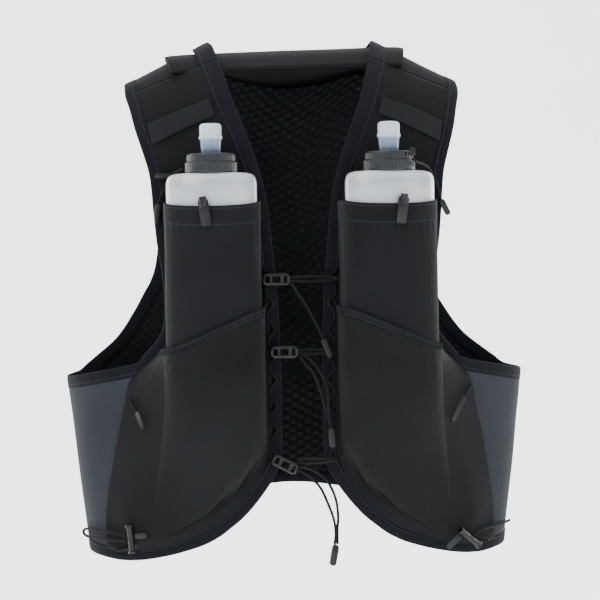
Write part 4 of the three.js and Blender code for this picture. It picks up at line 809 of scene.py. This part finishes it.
def fabric(name, dark, light, thread=0.0008, pattern=weave, stitch_lines=(), thread_hex="#24262d",
           depth=0.00025):
    """Knitted or woven polyamide: a matt thread pattern, cloudy in tone, with stitches on its seams."""
    look, tree, place, u, v = begin(name)
    cloud = clouds(tree, place, 14.0, 5.0)
    threads = pattern(tree, u, v, thread)
    tone = maths(tree, "MULTIPLY_ADD", threads, 0.18, maths(tree, "MULTIPLY_ADD", cloud, 1.4, -0.25))
    tone = maths(tree, "MINIMUM", maths(tree, "MAXIMUM", tone, 0.0), 1.0)
    base = blended(tree, dark, light, tone)
    height = threads
    for line in stitch_lines:
        mark = stitches(tree, u, v, line)
        base = blended(tree, base, thread_hex, mark)
        height = maths(tree, "ADD", height, maths(tree, "MULTIPLY", mark, 3.0))
    close(tree, base, 0.82, height, depth, 0.6, Sheen_Weight=0.02, Specular_IOR_Level=0.1)
    return look


def ribs(tree, u, v, pitch):
    return wave(tree, u, pitch)


def moulded(name, dark, light, rough):
    """Moulded plastic: an even colour with a fine grain, worn a little lighter in patches."""
    look, tree, place, _, _ = begin(name)
    base = blended(tree, dark, light, clouds(tree, place, 120.0))
    close(tree, base, rough, clouds(tree, place, 900.0), 0.00005, 0.4, Specular_IOR_Level=0.3)
    return look


def banded(name, stops, rough, clear, gloss):
    """Clear film or silicone over water: bands of colour at given heights in metres, with faint ripples. On
    the flask, the light bands at its shoulder are painted glints; on the valve, the bands are its own two
    tones.
    """
    look, tree, place, _, _ = begin(name)
    height = add(tree, "ShaderNodeSeparateXYZ", {0: place.outputs["Object"]}).outputs[2]
    low, high = stops[0][0], stops[-1][0]
    share = maths(tree, "DIVIDE", maths(tree, "SUBTRACT", height, low), high - low)
    ramp = add(tree, "ShaderNodeValToRGB", {0: share})
    marks = ramp.color_ramp.elements
    while len(marks) < len(stops):
        marks.new(0.5)
    for mark, (spot, code) in zip(marks, stops):
        mark.position, mark.color = (spot - low) / (high - low), colour(code)
    close(tree, ramp.outputs[0], rough, clouds(tree, place, 60.0, 3.0), 0.002, 0.5,
          Transmission_Weight=clear, Coat_Weight=gloss)
    return look


def make_materials():
    """Every finish of the vest, by name."""
    return {
        "cloth": fabric("stretch woven polyamide, black", "#0d0d10", "#17171a"),
        "slate": fabric("stretch woven polyamide, slate", "#23272b", "#2f3439"),
        "pocket": fabric("stretch woven polyamide, pocket hem stitched", "#0e0e11", "#18181c",
                         stitch_lines=(0.0165, 0.0024)),
        "binding": fabric("folded stretch tape, navy black", "#0a0b10", "#14151c", thread=0.0009,
                          pattern=ribs, stitch_lines=(0.0031,)),
        "mesh": fabric("spacer mesh, honeycomb knit", "#07080a", "#15161a", thread=KNIT_PRINT,
                       pattern=honeycomb, depth=0.0009),
        "webbing": fabric("flat webbing, ribbed", "#141618", "#1f2123", thread=0.0016, pattern=ribs),
        "elastic": fabric("ribbed elastic, zigzag stitched", "#0b0c0e", "#191a1e", thread=ELASTIC_PITCH,
                          pattern=ribs, stitch_lines=(0.0022, 0.0058), thread_hex="#202228"),
        "cord": fabric("braided round cord", "#08090a", "#1a1b1e", thread=0.0018, pattern=braid,
                       depth=0.0003),
        "plastic": moulded("moulded acetal, black", "#08090a", "#121315", 0.34),
        "cap": moulded("moulded polypropylene, smoke", "#14171a", "#212528", 0.38),
        # the light stops at -0.138 and -0.120 m, on the flask's shoulder, are painted glints; below them
        # the film only grows a little lighter towards the top
        "flask": banded("soft flask film over water, with painted shoulder glints", [
            (-0.300, "#7d8286"), (-0.160, "#8f9599"), (-0.138, "#b4bac0"), (-0.126, "#a2a8ae"),
            (-0.120, "#b9c0c7"), (-0.105, "#8d9499")], 0.28, 0.15, 0.4),
        "valve": banded("moulded silicone, ice blue", [
            (-0.101, "#5b6e86"), (-0.0895, "#71869e"), (-0.087, "#aebfce"), (-0.074, "#b9c8d6")],
            0.34, 0.1, 0.2),
    }


LOOKS = {}


def look_of(name):
    if not LOOKS:
        LOOKS.update(make_materials())
    return LOOKS[name]


def dressed(node):
    """A hard solid's own faces in moulded plastic, merged and given rounded edges."""
    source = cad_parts[node]
    shape = bmesh.new()
    shape.from_mesh(source.data)
    shape.transform(source.matrix_world)
    bmesh.ops.remove_doubles(shape, verts=shape.verts, dist=1e-6)
    bmesh.ops.dissolve_limit(shape, angle_limit=0.02, verts=shape.verts, edges=shape.edges)
    mesh = bpy.data.meshes.new(f"{node}_moulded")
    shape.to_mesh(mesh)
    shape.free()
    mesh.materials.clear()
    mesh.materials.append(look_of("plastic"))
    piece = bpy.data.objects.new(f"{node}_moulded", mesh)
    bpy.context.scene.collection.objects.link(piece)
    rounded = piece.modifiers.new("rounded", "BEVEL")
    rounded.width, rounded.segments, rounded.limit_method = BEVEL * MM, 2, "ANGLE"
    mesh.polygons.foreach_set("use_smooth", np.ones(len(mesh.polygons), bool))
    rounded.harden_normals = True
    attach(piece, BODY)
    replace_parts(piece, node)
    return piece


def placed(name, data, columns):
    """An object whose matrix has these columns: to its side, upward, backward, and its place."""
    made = bpy.data.objects.new(name, data)
    made.matrix_world = Matrix([*np.transpose(columns).tolist(), [0, 0, 0, 1]])
    bpy.context.scene.collection.objects.link(made)
    return made


class VestSizes(bpy.types.PropertyGroup):
    cord_diameter: bpy.props.FloatProperty(
        name="Cord diameter", description="Thickness of every braided cord", default=CORD * MM,
        unit="LENGTH")
    roll_depth: bpy.props.FloatProperty(
        name="Cloth roll depth", description="Height of the soft rolls in the cloth", default=0.0006,
        unit="LENGTH")
    camera_distance: bpy.props.FloatProperty(
        name="Camera distance", description="From the camera to the vest", default=2.8, unit="LENGTH")
    frame_width: bpy.props.FloatProperty(
        name="Frame width", description="Width of the view at the vest", default=0.54, unit="LENGTH")


class VEST_OT_stage(bpy.types.Operator):
    """Camera, soft studio light and a pale sweep behind the vest"""
    bl_idname = "vest.stage"
    bl_label = "Stage"

    def execute(self, context):
        sizes = context.scene.vest_sizes
        right = np.array([math.cos(CAMERA_TURN), math.sin(CAMERA_TURN), 0])
        back = np.array([math.sin(CAMERA_TURN), -math.cos(CAMERA_TURN), 0])
        up = np.array([0, 0, 1.0])
        side = right * math.cos(CAMERA_TILT) - up * math.sin(CAMERA_TILT)
        top = up * math.cos(CAMERA_TILT) + right * math.sin(CAMERA_TILT)
        lens = bpy.data.cameras.new("camera")
        lens.lens, lens.sensor_width = SENSOR * sizes.camera_distance / sizes.frame_width, SENSOR
        spot = CAMERA_AIM + back * sizes.camera_distance
        context.scene.camera = placed("camera", lens, [side, top, back, spot])
        for name, (place, size, power) in LAMPS.items():
            lamp = bpy.data.lights.new(name, "AREA")
            lamp.size, lamp.energy = size, power
            away = unit(np.array(place) - LAMP_AIM)
            across = unit(np.cross([0, 0, 1], away))
            placed(name, lamp, [across, np.cross(away, across), away, np.array(place)])
        world = bpy.data.worlds.new("studio")
        world.use_nodes = True
        world.node_tree.nodes["Background"].inputs[0].default_value = (1, 1, 1, 1)
        world.node_tree.nodes["Background"].inputs[1].default_value = 1.0
        context.scene.world = world
        bend = np.linspace(0, QUARTER, BEND_POINTS)
        curve = np.stack([BEND_START + BEND_RADIUS * np.sin(bend), BEND_RADIUS * (1 - np.cos(bend))], -1)
        line = [(SWEEP_NEAR, 0), *curve, (BEND_START + BEND_RADIUS, SWEEP_TOP)]
        points = np.array([[(x, y, z + SWEEP_FLOOR) for x in (-SWEEP_HALF, SWEEP_HALF)] for y, z in line])
        quads, _ = quads_of(len(line), 2)
        mesh = bpy.data.meshes.new("sweep")
        mesh.from_pydata(points.reshape(-1, 3).tolist(), [], quads.tolist())
        look = bpy.data.materials.new("matt white paper")
        look.use_nodes = True
        paper = look.node_tree.nodes["Principled BSDF"].inputs
        paper["Base Color"].default_value = (0.95, 0.95, 0.95, 1)
        paper["Roughness"].default_value = 0.9
        paper["Emission Color"].default_value = (1, 1, 1, 1)
        paper["Emission Strength"].default_value = 1.0
        mesh.materials.append(look)
        sweep = bpy.data.objects.new("sweep", mesh)
        context.scene.collection.objects.link(sweep)
        return {"FINISHED"}


class VEST_OT_cords(bpy.types.Operator):
    """Free cords with their end plates, and the short cords of the zip pulls"""
    bl_idname = "vest.cords"
    bl_label = "Cords"

    def execute(self, context):
        thick = context.scene.vest_sizes.cord_diameter
        plates = {name: dressed(name) for name in HARD_PIECES}
        for name, (route, plate) in CORDS.items():
            path = spline(route, CORD_STEPS)
            piece = braided(f"{name}_braid", tube_rings(path, thick / MM / 2), name)
        for name, route in ZIP_CORDS.items():
            braided(f"{name}_braid", tube_rings(spline(route, CORD_STEPS), thick / MM / 2), name)
        return {"FINISHED"}


class VEST_OT_cloth(bpy.types.Operator):
    """Back, fronts and slate sides as smooth walls of cloth"""
    bl_idname = "vest.cloth"
    bl_label = "Cloth"

    def execute(self, context):
        depth = context.scene.vest_sizes.roll_depth / MM
        back = wall("back_cloth", dense(whole(point_at(back_grid)), *SPANS["back_panel"]), 0, CLOTH,
                    look_of("cloth"), rolls(depth, 0.11, 1.3))
        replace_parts(back, "back_panel")
        for name, grid, look, pitch in (("front_panel", front_grid, "cloth", 0.09),
                                        ("side_panel", side_grid, "slate", 0.07)):
            for piece in pair(name, "cloth", point_at(grid), look, look,
                              relief=rolls(depth, pitch, 0.7)).values():
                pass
        return {"FINISHED"}


class VEST_OT_bindings(bpy.types.Operator):
    """Folded tapes round the armholes, neck, fronts and hem"""
    bl_idname = "vest.bindings"
    bl_label = "Bindings"

    def execute(self, context):
        edge, inner, normals = point_at(arm_edge), point_at(arm_inset), normal_at(arm_edge)
        for values in (edge, inner, normals):
            values[-1] = values[0]
        rim = point_at(rim_edge), point_at(rim_inset), normal_at(rim_edge)
        for side, sign in SIDES:
            tape(f"armhole_binding_{side}", edge * sign, inner * sign, normals * sign, closed=True)
            tape(f"front_binding_{side}", *[v[front_start:hem_start + 1] * sign for v in rim])
        neck, hem = [v[:front_start + 1][::-1] for v in rim], [v[hem_start:] for v in rim]
        for name, halves in (("neck_binding", neck), ("hem_band", hem)):
            tape(name, *[np.concatenate([h, (h * MIRROR)[::-1][1:]]) for h in halves])
        return {"FINISHED"}


class VEST_OT_back_mesh(bpy.types.Operator):
    """Honeycomb spacer mesh inside the back, with its raised knit"""
    bl_idname = "vest.back_mesh"
    bl_label = "Back mesh"

    def execute(self, context):
        side = np.array([place_of(*row, "back") for row in MESH_SIDE])
        top = np.array([place_of(*row, "back") for row in MESH_TOP])
        foot = place_of(*MESH_CENTRE_FOOT, "back")
        centre = mix(top[-1], foot, np.linspace(0, 1, len(side)))
        share = np.linspace(0, 1, len(top))
        high, low = point_at(side[-1])[2], point_at(foot)[2]
        last = at_turn(side[-1][0] + (foot[0] - side[-1][0]) * share,
                       high + (low - high) * eased(share, HEM_REACH))
        grid = patch(side, centre, top, last)
        across = np.linspace(0, 1, len(top))[None]
        down = np.linspace(0, 1, len(side))[:, None]
        slack = np.sqrt(np.minimum(1, 4 * across)) * np.minimum(1, 4 * (1 - down))
        drop = MESH_EDGE + (MESH_INSET - MESH_EDGE) * slack
        half = point_at(grid) - normal_at(grid) * drop[..., None]

        def knit(u, v):
            total = sum(np.cos((u * math.cos(a) + v * math.sin(a)) * 2 * math.pi / (KNIT_CELL * HEX_ROWS))
                        for a in np.radians([0, 60, 120]))
            return KNIT_HIGH * np.clip(total, -1.5, 1)
        piece = wall("back_mesh_knit", dense(whole(half), *SPANS["back_mesh"]), MESH_BACK - MESH_CLOTH,
                     -MESH_FACE, look_of("mesh"), knit)
        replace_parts(piece, "back_mesh")
        return {"FINISHED"}


class VEST_OT_flasks(bpy.types.Operator):
    """Soft flasks, ribbed caps and two-tone bite valves"""
    bl_idname = "vest.flasks"
    bl_label = "Flasks"

    def execute(self, context):
        angles = np.linspace(0, 2 * math.pi, FLASK_SIDES, endpoint=False)
        neck = [(NECK_RADIUS, NECK_RADIUS, flask_top + h) for h in (NECK_TALL, NECK_TALL / 2, 0.2)]
        body = [(FLASK_HALF_WIDTH * wide, FLASK_HALF_DEPTH * deep, flask_top - FLASK_LENGTH * down)
                for down, wide, deep in spline(FLASK_SECTIONS, 8)]
        rings = np.array([in_pocket(w * np.cos(angles), axis_forward + d * np.sin(angles), z)
                          for w, d, z in [*neck, *body]])
        cap_foot, bore, step = flask_top + FIT, NECK_RADIUS + 2 * FIT, CAP_RADIUS - 1.5
        cap = [(0.2, NECK_TALL + FIT), (bore, NECK_TALL + FIT), (bore, 0), (22.2, 0), (22.7, 0.25),
               (CAP_RADIUS, 0.8),
               *[(CAP_RADIUS, h) for h in np.linspace(1.4, 8.6, 8)], (22.8, 9.2), (step + 0.3, 9.8),
               (step - 0.3, 10.2), (step, 10.8), *[(step, h) for h in np.linspace(11.2, 15, 5)],
               (step - 0.4, 16.1), (step - 1.2, 16.8), (step - 2.2, CAP_TALL), (0.2, CAP_TALL)]
        r, t = VALVE_RADIUS, VALVE_TALL
        valve = [(0.2, 0), (r * 0.78, 0), (r * 0.82, 0.4), (r * 0.86, t * 0.25), (r * 0.9, t * 0.44),
                 (r * 0.97, t * 0.47), (r, t * 0.5), (r, t * 0.55), (r * 0.96, t * 0.59),
                 (r * 0.93, t * 0.62), (r * 0.94, t * 0.8), (r * 0.93, t * 0.9), (r * 0.86, t * 0.965),
                 (r * 0.72, t), (r * 0.5, t * 0.985), (0.2, t * 0.95)]
        for side, sign in SIDES:
            flask = ring_mesh(f"flask_{side}_film", rings * sign, look_of("flask"))
            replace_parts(flask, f"flask_{side}")
            x, y, _ = flask_axis * sign
            for node, profile, foot, look, extra in (
                    ("flask_cap", cap, cap_foot, "cap", (CAP_SIDES, CAP_RIBS)),
                    ("bite_valve", valve, cap_foot + CAP_TALL + FIT, "valve", ())):
                made = lathe(f"{node}_{side}_moulded", profile, (x, y, foot), look_of(look), look,
                             f"cap_{side}", *extra)
                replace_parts(made, f"{node}_{side}")
        return {"FINISHED"}


class VEST_OT_pockets(bpy.types.Operator):
    """Flask sleeves with stitched hems, and lower pockets with ribbed elastic hems"""
    bl_idname = "vest.pockets"
    bl_label = "Pockets"

    def execute(self, context):
        depth = context.scene.vest_sizes.roll_depth / MM

        def ripple(u, pitch):
            return u / pitch * 2 * math.pi

        def sleeve_relief(u, v):
            hem = 1 / (1 + np.exp((v - SLEEVE_HEM) / SLEEVE_HEM_EDGE))
            pucker = np.sin(ripple(u, PUCKER_PITCH)) * np.exp(-((v - PUCKER_DOWN) / PUCKER_FADE) ** 2)
            return SLEEVE_HEM_HIGH * hem + PUCKER_HIGH * pucker + rolls(0.4 * depth, 0.06, 0.4)(u, v)

        def pocket_relief(u, v):
            wander = 3 * np.sin(u / GATHER_WANDER)
            gather = np.sin(ripple(u, GATHER_PITCH) + wander) * np.exp(-v / GATHER_FADE)
            return GATHER_HIGH * gather + rolls(1.3 * depth, 0.085, 2.1)(u, v)

        def hem_relief(u, v):
            return ELASTIC_HIGH * np.sin(ripple(u, ELASTIC_PITCH))

        lower = lower_grid()
        for made in (pair("flask_pocket", "cloth", sleeve_grid(), "pocket", "cloth", relief=sleeve_relief),
                     pair("lower_pocket", "cloth", lower[1:], "cloth", "cloth", relief=pocket_relief)):
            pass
        pair("pocket_hem", "cloth", lower[:2], "elastic", "elastic", CLOTH + HEM_RISE, hem_relief)
        corners = np.array([place_of(*row) for row in LOOP_CORNERS])
        share = np.linspace(0, 1, LOOP_COLUMNS + 1)
        rows = np.array([mix(corners[k], corners[k + 1], share) for k in (0, 2)])
        arch = LAYER_BASE + LOOP_ARCH * np.sin(math.pi * share)
        pair("gear_loop", "webbing", point_at(rows) + normal_at(rows) * arch[None, :, None],
             "webbing", "webbing")
        return {"FINISHED"}


class VEST_OT_fastenings(bpy.types.Operator):
    """Lacing along the front edges, and the taut strands with their knots"""
    bl_idname = "vest.fastenings"
    bl_label = "Fastenings"

    def execute(self, context):
        edge = point_at(front_edge)

        def face(x, z):
            return front_point(abs(x), z)[1] - BAND_OUT
        route = []
        for loop in range(LACE_LOOPS):
            for pitches, in_by in ((0.34, LACE_INSET), (0, LACE_INSET - LACE_REACH), (-0.34, LACE_INSET)):
                z = -LACE_TOP_DROP - LACE_PITCH * loop + LACE_PITCH * pitches
                x = float(np.interp(-z, -edge[:, 2], edge[:, 0])) + in_by
                route.append((x, face(x, z) - FIT - CORD / 2, z))
        rings = tube_rings(spline(route, LACE_STEPS), CORD / 2)
        for side, sign in SIDES:
            braided(f"lacing_{side}_braid", rings * sign, f"lacing_{side}")
        t = np.linspace(0, 1, STRAND_POINTS)[:, None]
        turns = np.linspace(0, 2 * math.pi * COIL_TURNS, COIL_POINTS)[:, None]
        coil = np.concatenate([COIL_RADIUS * np.cos(turns), -COIL_RADIUS * np.sin(turns),
                               COIL_RISE * (turns - math.pi * COIL_TURNS)], 1)
        for name, (across, drop, start, cord_drop, knot) in STRANDS.items():
            front = face(across, -drop) - FIT - CORD - FIT - HOOK_HALF
            middle = np.array([knot, face(knot, -cord_drop) - CORD - FIT - KNOT_RADIUS, -cord_drop])
            paths = []
            for side in (-1, 1):
                near = np.array([start, front, -cord_drop + side * STRAND_APART])
                far = middle + [0, 0, side * STRAND_BOW]
                bow = np.array([0, 0, side * STRAND_BOW]) * np.sin(math.pi * t)
                paths.append(near + (far - near) * t + bow)
            paths.append(middle + coil)
            for k, path in enumerate(paths):
                braided(f"{name}_{k}", tube_rings(path, CORD / 2), *([name] if k == 0 else []))
        return {"FINISHED"}


class VEST_PT_panel(bpy.types.Panel):
    bl_idname = "VEST_PT_panel"
    bl_label = "Vest"
    bl_space_type = "VIEW_3D"
    bl_region_type = "UI"
    bl_category = "Vest"

    def draw(self, context):
        for name in VestSizes.__annotations__:
            self.layout.prop(context.scene.vest_sizes, name)
        for operator in OPERATORS:
            self.layout.operator(operator.bl_idname)


OPERATORS = [VEST_OT_stage, VEST_OT_cords, VEST_OT_cloth, VEST_OT_bindings, VEST_OT_back_mesh,
             VEST_OT_flasks, VEST_OT_pockets, VEST_OT_fastenings]


def register():
    for kind in (VestSizes, *OPERATORS, VEST_PT_panel):
        bpy.utils.register_class(kind)
    bpy.types.Scene.vest_sizes = bpy.props.PointerProperty(type=VestSizes)


def unregister():
    del bpy.types.Scene.vest_sizes
    for kind in (VEST_PT_panel, *reversed(OPERATORS), VestSizes):
        bpy.utils.unregister_class(kind)


def main():
    register()
    for operator in OPERATORS:
        group, name = operator.bl_idname.split(".")
        getattr(getattr(bpy.ops, group), name)()


if __name__ == "__main__":
    main()
